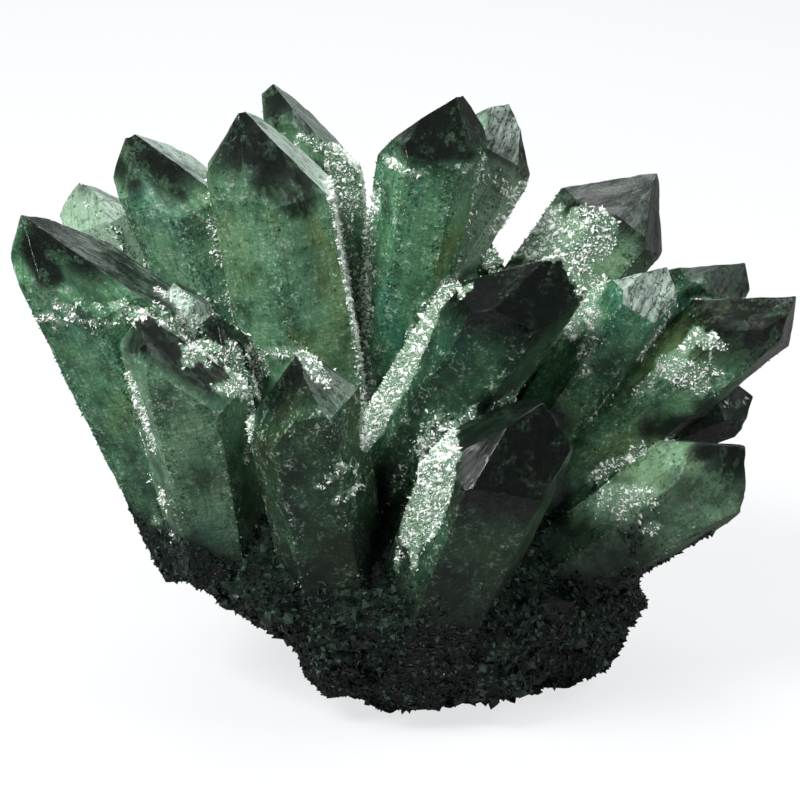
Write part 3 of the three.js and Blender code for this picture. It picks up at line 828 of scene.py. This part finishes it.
class Tree:
    """A tree of nodes under construction."""

    def __init__(self, inside):
        self.inside = inside
        self.inside.nodes.clear()

    def node(self, kind, settings=None, values=None, out=0):
        """Adds a node, gives it its settings and then the values or signals of its sockets."""
        made = self.inside.nodes.new(kind)
        for name, value in (settings or {}).items():
            setattr(made, name, value)
        for name, value in (values or {}).items():
            if isinstance(value, Signal):
                self.inside.links.new(value.socket, made.inputs[name])
            else:
                made.inputs[name].default_value = value
        return Signal(self, made.outputs[out]) if made.outputs else None

    def maths(self, operation, first, second):
        return self.node("ShaderNodeMath", {"operation": operation}, {0: first, 1: second})


# %% Finishes
class Finish(Tree):
    """A material under construction."""

    def __init__(self, name):
        self.material = bpy.data.materials.new(name)
        self.material.use_nodes = True
        super().__init__(self.material.node_tree)

    def fact(self, name):
        """A value that is stored on the mesh."""
        return self.node("ShaderNodeAttribute", {"attribute_name": name}, out="Fac")

    def spot(self, name):
        """A place that is stored on the mesh."""
        return self.node("ShaderNodeAttribute", {"attribute_name": name}, out="Vector")

    def millimetres(self):
        where = self.node("ShaderNodeTexCoord", out="Object")
        return self.stretched(where, (1 / MM, 1 / MM, 1 / MM))

    def stretched(self, where, scale):
        return self.node("ShaderNodeVectorMath", {"operation": "MULTIPLY"}, {0: where, 1: scale})

    def clouds(self, where, size, detail=2.0, roughness=0.5):
        """Soft noise around 0.5 with features of a size in millimetres."""
        return self.node("ShaderNodeTexNoise", None,
                         {"Vector": where, "Scale": 1 / size, "Detail": detail, "Roughness": roughness})

    def smooth(self, value, low, high):
        """0 where a signal is at low, 1 where it is at high and an easy curve between them."""
        return self.node("ShaderNodeMapRange", {"interpolation_type": "SMOOTHSTEP"},
                         {"Value": value, "From Min": low, "From Max": high})

    def thread(self, value, rise, fall):
        """1 in a narrow band of a noise, which draws thin lines."""
        return self.smooth(value, *rise) * self.smooth(value, *fall)

    def height(self, where):
        return self.node("ShaderNodeSeparateXYZ", None, {0: where}, out="Z")

    def mix(self, first, second, share):
        return self.node("ShaderNodeMix", {"data_type": "RGBA"}, {0: share, 6: first, 7: second}, out=2)

    def layered(self, base, layers):
        """Lays colours over a base, each up to its share as its signal crosses its borders."""
        for hue, share, signal, borders in layers:
            base = self.mix(base, hue, share * self.smooth(signal, *borders))
        return base

    def bump(self, height, distance):
        return self.node("ShaderNodeBump", None,
                         {"Height": height, "Distance": distance * MM, "Strength": 1.0})

    def principled(self, values):
        return self.node("ShaderNodeBsdfPrincipled", None, values)

    def finish(self, surface, volume=None):
        ends = {"Surface": surface} if volume is None else {"Surface": surface, "Volume": volume}
        self.node("ShaderNodeOutputMaterial", None, ends)
        return self.material


def colour(red, green, blue):
    """A colour as read off a screen, 0 to 255, in the linear values that a shader takes."""
    def linear(value):
        value /= 255
        return value / 12.92 if value < 0.04045 else ((value + 0.055) / 1.055) ** 2.4
    return (linear(red), linear(green), linear(blue), 1.0)


print("half grey as a shader takes it:", round(colour(128, 128, 128)[0], 3))

# %% [markdown]
# ## The quartz finish
# Three surfaces share each crystal. Where chlorite clouds the quartz, it is a satin milky green, with olive
# and blue-green patches, pale specks, dark pits and faint streaks down each face. Near the tip the quartz
# is clear: glass with quartz's index, tinted by absorption, which reads nearly black where it is thick, and
# crossed by thin veils. Where a clear stroke lies in shadow, its darkness is painted shade. Some caps were
# etched dull and look slate grey, with flakes, cracks and dark streaks down their slope. Their paler grey
# is partly painted light, on caps that the lamps light too little. Towards the foot, the quartz is darkened
# by painted shade. One shader with a pattern in its colour could stand for all three, but milk scatters
# light and glass bends it, so a Mix Shader blends the two by the facts stored on the mesh, and the slate is
# a colour of the dull one. Noise at two scales frays every border, because a painted edge would look too
# clean. Each pair of borders says where a look begins and where it is full, and at most is the share that
# it then takes.

# %% Colours and noises of the quartz
QUARTZ_IOR = 1.544
ABSORPTION = {"Color": (0.3, 0.6, 0.42, 1), "Density": 760.0}
BODY = {"deep": colour(36, 72, 50), "mid": colour(80, 130, 93), "olive": colour(104, 124, 62),
        "blue": colour(54, 120, 100), "milk": colour(136, 172, 141), "murk": colour(18, 37, 27),
        "pale": colour(196, 216, 198), "root": colour(13, 22, 18), "crusted": colour(126, 158, 131),
        "smoke": colour(13, 24, 19), "clear": colour(214, 232, 220)}
SLATE_AND_PAINTED_LIGHT = {"dark": colour(13, 21, 19), "light": colour(190, 212, 198)}
BORDERS = {"edge": (-4.5, -0.3), "clear": (-2.5, 4), "clear_stroke": (0.05, 0.85), "root": (16, 70),
           "crust": (0.3, 0.62), "etched": (0.2, 0.4), "slate": (-0.1, 1.1),
           "veil": ((0.52, 0.57), (0.65, 0.59)), "crack": ((0.47, 0.495), (0.53, 0.505))}
AT_MOST = {"smoke": 0.9, "veil": 0.35, "crack": 0.85, "crust": 0.75,
           "glass": 0.78, "etched_glass": 0.55, "crusted_glass": 0.85}
ROOT_SWAY = 26
SKIN = {"milky": 0.3, "clear": 0.05}
NOISES = {  # the fact that it follows, how that is stretched, its size in mm, detail and roughness
    "mottle": ("place", (1, 1, 1), 8, 3, 0.6),
    "patch": ("place", (1, 1, 0.5), 11, 2, 0.5),
    "wisp": ("place", (1, 1, 0.5), 4, 4, 0.7),
    "flake": ("place", (1, 1, 1), 2.2, 4, 0.75),
    "speck": ("place", (1, 1, 1), 0.7, 3, 0.75),
    "fine": ("place", (1, 1, 1), 0.45, 2, 0.6),
    "streak": ("slope", (1, 0.1, 1), 0.8, 3, 0.65),
    "ridge": ("slope", (1, 0.3, 1), 2.6, 4, 0.7),
    "growth": ("slope", (0.1, 1, 1), 0.9, 2, 0.5),
}


def quartz_noises(quartz):
    made = {name: quartz.clouds(quartz.stretched(quartz.spot(fact), stretch), size, detail, roughness)
            for name, (fact, stretch, size, detail, roughness) in NOISES.items()}
    return SimpleNamespace(**made)


print("noises in the quartz:", ", ".join(NOISES))

# %% Milky green, clear tips and slate
def milky_green(quartz, noises, near_edge):
    """The milky quartz's colour, layer over layer.

    Each layer is a colour, its share at most, the signal that it follows and that signal's borders.
    """
    milk = quartz.fact("milk")
    hue = noises.patch + quartz.fact("tone") * 0.28
    cloudy = milk + noises.mottle.swing(0.8)
    grainy = noises.speck * 0.8 + noises.flake * 0.8
    return quartz.layered(BODY["deep"], [
        (BODY["mid"], 1.0, noises.mottle, (0.3, 0.6)),
        (BODY["olive"], 0.6, hue, (0.54, 0.78)),
        (BODY["blue"], 0.7, hue, (0.46, 0.24)),
        (BODY["milk"], 0.8, cloudy, (0.0, 0.9)),
        (BODY["murk"], 0.85, cloudy, (0.0, -0.9)),
        (BODY["pale"], 0.6, milk + noises.mottle.swing(0.6), (0.6, 1.2)),
        (BODY["pale"], 0.4 + 0.5 * near_edge, grainy, (0.83, 1.04)),
        (BODY["murk"], 0.6 + 0.35 * near_edge, grainy, (0.77, 0.58)),
        (BODY["murk"], 0.4, noises.streak, (0.5, 0.3)),
    ])


def clear_share(quartz, noises, frayed):
    """How clear the quartz is, by the distance from the shoulder or by a stroke, less its veils. Strokes
    that lie in shadow paint that shade as dark clear quartz.
    """
    by_rule = quartz.smooth(quartz.fact("clear") + noises.mottle.swing(8) + frayed * 2, *BORDERS["clear"])
    by_stroke = quartz.smooth(quartz.fact("clear_paint") + frayed * 0.4, *BORDERS["clear_stroke"])
    veils = quartz.thread(noises.wisp, *BORDERS["veil"])
    return quartz.maths("MAXIMUM", by_rule, by_stroke) * (1 - AT_MOST["veil"] * veils)


def etched_slate_and_painted_light(quartz, noises):
    """The colour of an etched cap, with painted light where a high paleness lightens caps that the lamps
    light too little.
    """
    # Painted light: the paleness lightens caps that the lamps light too little.
    light = quartz.fact("paleness") + noises.streak.swing(1.1)
    light = light + noises.patch.swing(1.3) + noises.flake.swing(1.2)
    slate = quartz.mix(SLATE_AND_PAINTED_LIGHT["dark"], SLATE_AND_PAINTED_LIGHT["light"], quartz.smooth(light, *BORDERS["slate"]))
    cracks = quartz.thread(noises.ridge, *BORDERS["crack"])
    return quartz.mix(slate, SLATE_AND_PAINTED_LIGHT["dark"], cracks * AT_MOST["crack"])


# %% Quartz
def quartz_finish():
    quartz = Finish("chlorite_quartz")
    noises = quartz_noises(quartz)
    frayed = noises.speck.swing(0.7) + noises.flake.swing(0.9)
    near_edge = quartz.smooth(quartz.fact("to_edge") + noises.mottle.swing(7), *BORDERS["edge"])
    share = clear_share(quartz, noises, frayed)
    # Painted shade: the quartz turns dark towards its foot and under the foot strokes.
    level = quartz.height(quartz.millimetres()) + noises.mottle.swing(ROOT_SWAY)
    level = level - quartz.fact("grime") * ROOT_SWAY
    crusted = quartz.smooth(quartz.fact("crust") + frayed, *BORDERS["crust"])
    etched = quartz.fact("etched") * quartz.smooth(noises.mottle + frayed * 0.3, *BORDERS["etched"])
    green = quartz.mix(milky_green(quartz, noises, near_edge), BODY["smoke"], AT_MOST["smoke"] * share)
    green = quartz.mix(BODY["root"], green, quartz.smooth(level, *BORDERS["root"]))
    green = quartz.mix(green, BODY["crusted"], AT_MOST["crust"] * crusted)
    green = quartz.mix(green, etched_slate_and_painted_light(quartz, noises), etched)
    rough = noises.fine * 0.4 + noises.growth * 0.4 + noises.flake * (0.5 + near_edge)
    milky_skin = quartz.bump(rough, SKIN["milky"])
    clear_skin = quartz.bump(noises.streak + noises.growth * 0.5, SKIN["clear"])
    milky = quartz.principled({"Base Color": green, "Roughness": 0.28 + 0.3 * noises.fine,
                               "IOR": QUARTZ_IOR, "Specular IOR Level": 0.4, "Normal": milky_skin})
    clear = quartz.principled({"Base Color": BODY["clear"], "Roughness": 0.05 + 0.18 * noises.streak,
                               "IOR": QUARTZ_IOR, "Transmission Weight": 1.0, "Normal": clear_skin})
    share = share * (AT_MOST["glass"] - AT_MOST["etched_glass"] * etched)
    share = share * (1 - AT_MOST["crusted_glass"] * crusted)
    surface = quartz.node("ShaderNodeMixShader", None, {0: share, 1: milky, 2: clear})
    return quartz.finish(surface, quartz.node("ShaderNodeVolumeAbsorption", None, ABSORPTION))


chlorite_quartz = quartz_finish()
print("nodes in the quartz finish:", len(chlorite_quartz.node_tree.nodes))

# %% [markdown]
# ## The druse and rock finishes
# A druse grain is nearly colourless, so a crust of them looks like sugar, white with a touch of green.
# Each grain keeps a shade of its own, stored when it is sown. The rock is a dark green-black mass of the
# same chlorite, dull but with glints, and its grit turns greener towards the crystals.

# %% Druse, frost, grit and rock
DRIFT = {"size": 6, "reach": 1.2}
HIGHER = {"share": 0.55, "rim": (8, 52)}
MATRIX = {"dark": colour(10, 17, 13), "green": colour(34, 52, 41), "fleck": colour(84, 104, 90)}


def druse_finish(name, dull, bright, rough, borders, higher=None):
    """A finish from dull to bright by each grain's own shade, with a third colour for the higher ones."""
    druse = Finish(name)
    where = druse.millimetres()
    shade = druse.fact("shade")
    drift = druse.clouds(where, DRIFT["size"]).swing(DRIFT["reach"])
    layers = [(bright, 1.0, shade + drift, borders)]
    if higher:
        layers.append((higher, HIGHER["share"], druse.height(where), HIGHER["rim"]))
    return druse.finish(druse.principled({"Base Color": druse.layered(dull, layers), "IOR": QUARTZ_IOR,
                                          "Roughness": rough + 0.2 * shade}))


def rock_finish():
    rock = Finish("dark_matrix")
    where = rock.millimetres()
    mottle = rock.clouds(where, size=6, detail=4, roughness=0.65)
    fleck = rock.clouds(where, size=0.9, detail=3, roughness=0.7)
    hue = rock.layered(MATRIX["dark"], [(MATRIX["green"], 1.0, mottle, (0.4, 0.68)),
                                        (MATRIX["fleck"], 0.5, fleck, (0.62, 0.8))])
    skin = rock.bump(rock.clouds(where, size=1.2, detail=4, roughness=0.7), distance=0.5)
    surface = rock.principled({"Base Color": hue, "Roughness": 0.35 + 0.4 * mottle, "Normal": skin})
    return rock.finish(surface)


white_druse_finish = druse_finish("white_druse", colour(132, 172, 140), colour(252, 254, 250), rough=0.2,
                                  borders=(-0.1, 0.45))
frost_finish = druse_finish("frost", colour(48, 86, 60), colour(150, 182, 154), rough=0.3,
                            borders=(0.2, 1.1))
grit_finish = druse_finish("dark_grit", colour(9, 15, 12), colour(76, 98, 86), rough=0.1,
                           borders=(0.4, 1.25), higher=colour(34, 54, 44))
dark_matrix = rock_finish()
print("finishes:", ", ".join(material.name for material in bpy.data.materials))

# %% [markdown]
# ## Sowing grains
# Thousands of tiny quartz points cover the valleys, and they all follow one rule: a point stands on the
# surface, leans a little and has a size between a least and a most. A Geometry Nodes tree sows them over
# a surface by a stored mask, with even spacing, and a seed makes it the same each time. Noise at two
# scales takes points away where the mask is weak, which frays the crust's edge into tongues and lone
# grains. The finest druse is a square pyramid, the grit a broader one, and the bigger points are
# six-sided prisms with a pyramid on top. Crumbs could be scattered as loose objects, but one mesh for
# each crust is far lighter.

# %% Grains
GRAIN = {"sunk": 0.3, "shoulder": 0.5}


def grain_object(name, sides, levels, width):
    """A point one unit tall that is sunk a little: rings of corners at the levels, and the tip."""
    ring = [Matrix.Rotation(math.tau * i / sides, 3, "Z") @ Vector((width / 2, 0, 0)) for i in range(sides)]
    corners = [corner + Vector((0, 0, level)) for level in levels for corner in ring]
    corners.append(Vector((0, 0, 1 - GRAIN["sunk"])))
    bottom = tuple(reversed(range(sides)))
    last = sides * (len(levels) - 1)
    walls = [(i, (i + 1) % sides, sides + (i + 1) % sides, sides + i) for i in range(sides)] if last else []
    caps = [(last + i, last + (i + 1) % sides, last + sides) for i in range(sides)]
    mesh = bpy.data.meshes.new(name)
    mesh.from_pydata(corners, [], [bottom, *walls, *caps])
    return placed(name, mesh)


foot, shoulder = -GRAIN["sunk"], GRAIN["shoulder"] - GRAIN["sunk"]
pyramid = grain_object("pyramid", sides=4, levels=(foot,), width=0.75)
crumb = grain_object("crumb", sides=4, levels=(foot,), width=1.15)
six_sided = grain_object("six_sided_point", sides=SIDES, levels=(foot, shoulder), width=0.62)
print("faces of each grain:", [len(shape.data.polygons) for shape in (pyramid, crumb, six_sided)])

# %% Points over a surface
CROWDING = 1.5
THICKENED = 2.0
TONGUES = (3.2, 1.0)
FRAYED_CUT = (0.7, 1.5)
DRAWS = {"height": 1, "width": 2, "shade": 3, "cut": 4}


def chance(tree, given, least, most, draw):
    """A number for each point, with a seed of its own for each draw."""
    return tree.node("FunctionNodeRandomValue", {"data_type": "FLOAT"},
                     {2: least, 3: most, "Seed": given("Seed") + DRAWS[draw]}, out=1)


def spread_points(tree, given):
    """Evenly spaced points that remember which way is up, thinned out where the mask is weak."""
    mask = tree.node("GeometryNodeInputNamedAttribute", {"data_type": "FLOAT"}, {"Name": given("Mask")},
                     out="Attribute")
    thickest = tree.maths("DIVIDE", CROWDING, given("Spacing") * given("Spacing"))
    sown = tree.node("GeometryNodeDistributePointsOnFaces", {"distribute_method": "POISSON"},
                     {"Mesh": given("Surface"), "Distance Min": given("Spacing"), "Density Max": thickest,
                      "Density Factor": mask * THICKENED, "Seed": given("Seed")}, out="Points")
    here = tree.node("GeometryNodeInputPosition")
    for size in TONGUES:
        cloud = tree.node("ShaderNodeTexNoise", None, {"Vector": here, "Scale": 1 / size, "Detail": 1.0})
        mask = mask + (cloud - NOISE_MIDDLE)
    weak = tree.node("FunctionNodeCompare", {"data_type": "FLOAT", "operation": "LESS_THAN"},
                     {0: mask, 1: given("Cut") * chance(tree, given, *FRAYED_CUT, "cut")})
    turned = tree.node("GeometryNodeStoreNamedAttribute", {"data_type": "QUATERNION", "domain": "POINT"},
                       {"Geometry": sown, "Name": "upright", "Value": sown.output("Rotation")})
    return tree.node("GeometryNodeDeleteGeometry", {"domain": "POINT"},
                     {"Geometry": turned, "Selection": weak})


print("noises that thin the points out, in mm:", TONGUES)

# %% A grain on every point
STUBBY = (0.75, 1.35)
MOSTLY_SMALL = 2.4


def stand_grains(tree, given, points):
    """A grain on each point, leant a little, most of them small, and each a little stubby or slim."""
    upright = tree.node("GeometryNodeInputNamedAttribute", {"data_type": "QUATERNION"}, {"Name": "upright"},
                        out="Attribute")
    lean_most = tree.node("ShaderNodeCombineXYZ", None, {0: given("Lean"), 1: given("Lean"), 2: math.pi})
    lean_least = tree.node("ShaderNodeVectorMath", {"operation": "SCALE"}, {0: lean_most, "Scale": -1.0})
    lean = tree.node("FunctionNodeRandomValue", {"data_type": "FLOAT_VECTOR"},
                     {0: lean_least, 1: lean_most, "Seed": given("Seed")})
    lean = tree.node("FunctionNodeEulerToRotation", None, {0: lean})
    leant = tree.node("FunctionNodeRotateRotation", {"rotation_space": "LOCAL"},
                      {"Rotation": upright, "Rotate By": lean})
    few_big = tree.maths("POWER", chance(tree, given, 0.0, 1.0, "height"), MOSTLY_SMALL)
    height = given("Least") + few_big * (given("Most") - given("Least"))
    width = height * chance(tree, given, *STUBBY, "width")
    size = tree.node("ShaderNodeCombineXYZ", None, {0: width, 1: width, 2: height})
    shape = tree.node("GeometryNodeObjectInfo", None, {"Object": given("Grain")}, out="Geometry")
    return tree.node("GeometryNodeInstanceOnPoints", None,
                     {"Points": points, "Instance": shape, "Rotation": leant, "Scale": size})


print("share of the grains in the upper half of the sizes:", round(1 - 0.5 ** (1 / MOSTLY_SMALL), 2))

# %% The tree that sows them
SOWING_INPUTS = {"Surface": "NodeSocketGeometry", "Grain": "NodeSocketObject", "Mask": "NodeSocketString",
                 "Spacing": "NodeSocketFloat", "Least": "NodeSocketFloat", "Most": "NodeSocketFloat",
                 "Lean": "NodeSocketFloat", "Cut": "NodeSocketFloat", "Seed": "NodeSocketInt",
                 "Finish": "NodeSocketMaterial"}


def sowing_tree():
    """The tree from a surface, a grain and the numbers of a crust to the sown grains."""
    group = bpy.data.node_groups.new("sow_points", "GeometryNodeTree")
    for name, kind in SOWING_INPUTS.items():
        group.interface.new_socket(name, in_out="INPUT", socket_type=kind)
    group.interface.new_socket("Points", in_out="OUTPUT", socket_type="NodeSocketGeometry")
    tree = Tree(group)
    given = tree.node("NodeGroupInput").output
    grains = stand_grains(tree, given, spread_points(tree, given))
    shade = chance(tree, given, 0.0, 1.0, "shade")
    shaded = tree.node("GeometryNodeStoreNamedAttribute", {"data_type": "FLOAT", "domain": "INSTANCE"},
                       {"Geometry": grains, "Name": "shade", "Value": shade})
    real = tree.node("GeometryNodeRealizeInstances", None, {0: shaded})
    finished = tree.node("GeometryNodeSetMaterial", None, {"Geometry": real, "Material": given("Finish")})
    tree.node("NodeGroupOutput", None, {0: finished})
    return group


sow_points = sowing_tree()
print("nodes in the sowing tree:", len(sow_points.nodes))


def sow(name, surface, **inputs):
    """A new piece: grains sown over a surface, none of them under the foot plane."""
    sowing = surface.modifiers.new(name, "NODES")
    sowing.node_group = sow_points
    for item in sow_points.interface.items_tree:
        if item.in_out == "INPUT" and item.name in inputs:
            sowing[item.identifier] = inputs[item.name]
    made = placed(name, evaluated_mesh(surface))
    surface.modifiers.remove(sowing)
    for vertex in made.data.vertices:
        vertex.co.z = max(vertex.co.z, 0.0)
    made.data.transform(Matrix.Scale(MM, 4))
    print(f"{name}: {sum(len(face.vertices) - 2 for face in made.data.polygons)} triangles")
    return made


# %% Sow the druse, the frost and the grit
white_druse = sow("white_druse", quartz, Grain=pyramid, Mask="crust", Spacing=0.46, Least=0.4, Most=1.35,
                  Lean=0.9, Cut=0.45, Seed=3, Finish=white_druse_finish)
druse_points = sow("druse_points", quartz, Grain=six_sided, Mask="crust", Spacing=1.4, Least=0.9, Most=2.0,
                   Lean=0.9, Cut=0.75, Seed=13, Finish=white_druse_finish)
edge_frost = sow("edge_frost", quartz, Grain=pyramid, Mask="frosted", Spacing=0.6, Least=0.35, Most=1.0,
                 Lean=0.8, Cut=0.5, Seed=5, Finish=frost_finish)
skirt_grit = sow("skirt_grit", quartz, Grain=crumb, Mask="skirt", Spacing=0.6, Least=0.4, Most=1.6,
                 Lean=0.9, Cut=0.35, Seed=7, Finish=grit_finish)
rock_grit = sow("rock_grit", rock, Grain=crumb, Mask="grit_room", Spacing=0.7, Least=0.5, Most=1.8,
                Lean=0.9, Cut=0.1, Seed=9, Finish=grit_finish)
rock_points = sow("rock_points", rock, Grain=six_sided, Mask="grit_room", Spacing=3.2, Least=1.6, Most=4.2,
                  Lean=0.8, Cut=0.5, Seed=15, Finish=grit_finish)
for shape in (six_sided, crumb, pyramid):
    bpy.data.objects.remove(shape)

# %% [markdown]
# ## Dress the frame
# The quartz and the rock stand for the two solids, so they replace them. The crusts ride along.

# %% Put the pieces on the frame
SHARP = math.radians(40)
SLOTS = {"quartz": (quartz, white_druse, druse_points, edge_frost, skirt_grit),
         "matrix": (rock, rock_grit, rock_points)}

for piece, finish in ((quartz, chlorite_quartz), (rock, dark_matrix)):
    piece.data.materials.clear()
    piece.data.materials.append(finish)
    piece.data.transform(Matrix.Scale(MM, 4))
    piece.data.shade_smooth()
quartz.data.set_sharp_from_angle(angle=SHARP)
weighted = quartz.modifiers.new("flat_faces", "WEIGHTED_NORMAL")
weighted.keep_sharp = True
quartz.data = evaluated_mesh(quartz)
quartz.modifiers.clear()
for slot, pieces in SLOTS.items():
    for piece in pieces:
        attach(piece, "root")
    print(slot, "dresses", ", ".join(piece.name for piece in pieces))
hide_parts("quartz_crystals")
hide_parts("matrix")

# %% [markdown]
# ## The studio
# A pale floor and soft light from the upper left and behind, as on a bright table, with a fill from the
# right for the druse on the far faces. The front is kept darker, so that the clear caps mirror something
# dark and read nearly black. For the same reason two lamps light the crystals without showing in their
# mirrors, and a small lamp gives the glints. The white backdrop is for the camera alone, and so is the
# floor's paleness: the crystals see a dimmer room.

# %% Floor
SNOW = (0.97, 0.98, 1.0, 1)
FLOOR = {"size": 6.0, "dim": 0.2, "pale": 0.8, "rough": 0.9, "glow": 0.75}


def floor_finish():
    floor = Finish("pale_floor")
    dim, pale = (floor.principled({"Base Color": (FLOOR[name], FLOOR[name], FLOOR[name], 1),
                                   "Roughness": FLOOR["rough"]}) for name in ("dim", "pale"))
    glow = floor.node("ShaderNodeEmission", None, {"Color": SNOW, "Strength": 1.0})
    pale = floor.node("ShaderNodeMixShader", None, {0: FLOOR["glow"], 1: pale, 2: glow})
    to_camera = floor.node("ShaderNodeLightPath", out="Is Camera Ray")
    return floor.finish(floor.node("ShaderNodeMixShader", None, {0: to_camera, 1: dim, 2: pale}))


bpy.ops.mesh.primitive_plane_add(size=FLOOR["size"])
floor = bpy.context.object
floor.name = "floor"
floor.data.materials.append(floor_finish())
print("floor:", FLOOR["size"], "metres wide")

# %% Background
ROOM = {"front": 0.13, "back": 0.24, "turn": (-0.7, 0.6)}
studio = bpy.data.worlds.new("studio")
studio.use_nodes = True
bpy.context.scene.world = studio
sky = Tree(studio.node_tree)
direction = sky.node("ShaderNodeTexCoord", out="Generated")
toward_back = sky.node("ShaderNodeSeparateXYZ", None, {0: direction}, out="Y")
glow = sky.node("ShaderNodeMapRange", {"interpolation_type": "SMOOTHSTEP"},
                {"Value": toward_back, "From Min": ROOM["turn"][0], "From Max": ROOM["turn"][1],
                 "To Min": ROOM["front"], "To Max": ROOM["back"]})
to_camera = sky.node("ShaderNodeLightPath", out="Is Camera Ray")
strength = sky.node("ShaderNodeMix", {"data_type": "FLOAT"}, {0: to_camera, 2: glow, 3: 1.0})
backdrop = sky.node("ShaderNodeBackground", None, {"Color": SNOW, "Strength": strength})
sky.node("ShaderNodeOutputWorld", None, {"Surface": backdrop})
print("room light from front to back:", ROOM["front"], "to", ROOM["back"])

# %% Lights
LIGHTS = [  # its name, place and width in metres, its watts, and whether the crystals mirror it
    ("key_upper_left", (-0.55, -0.4, 0.8), 0.4, 12.0, False),
    ("glint_upper_left", (-0.25, -0.55, 0.85), 0.12, 1.2, True),
    ("behind_top", (-0.15, 0.75, 0.75), 0.6, 4.6, True),
    ("fill_right", (0.65, -0.15, 0.7), 0.5, 4.8, False),
]
for name, spot, size, power, mirrored in LIGHTS:
    lamp = bpy.data.lights.new(name, "AREA")
    lamp.size = size
    lamp.energy = power
    stand = placed(name, lamp)
    stand.location = spot
    stand.visible_glossy = mirrored
    stand.rotation_euler = (Vector(AIM * MM) - Vector(spot)).to_track_quat("-Z", "Y").to_euler()
print("lamps:", len(LIGHTS), "with", round(sum(row[3] for row in LIGHTS), 1), "watts")

# %% [markdown]
# ## The camera
# The photograph looks down on the cluster by about 20 degrees from some 600 mm away. The lens is long, so
# the crystals keep their proportions from front to back.

# %% Camera
LENS = 122.7
SENSOR = 36.0
lens = bpy.data.cameras.new("photo_view")
lens.lens = LENS
lens.sensor_width = SENSOR
camera = placed("photo_view", lens)
camera.location = EYE * MM
camera.rotation_euler = (math.pi / 2 - ELEVATION, 0, 0)
bpy.context.scene.camera = camera
bpy.context.scene.view_settings.view_transform = "Standard"
print("camera:", round(DISTANCE * MM, 2), "metres away")
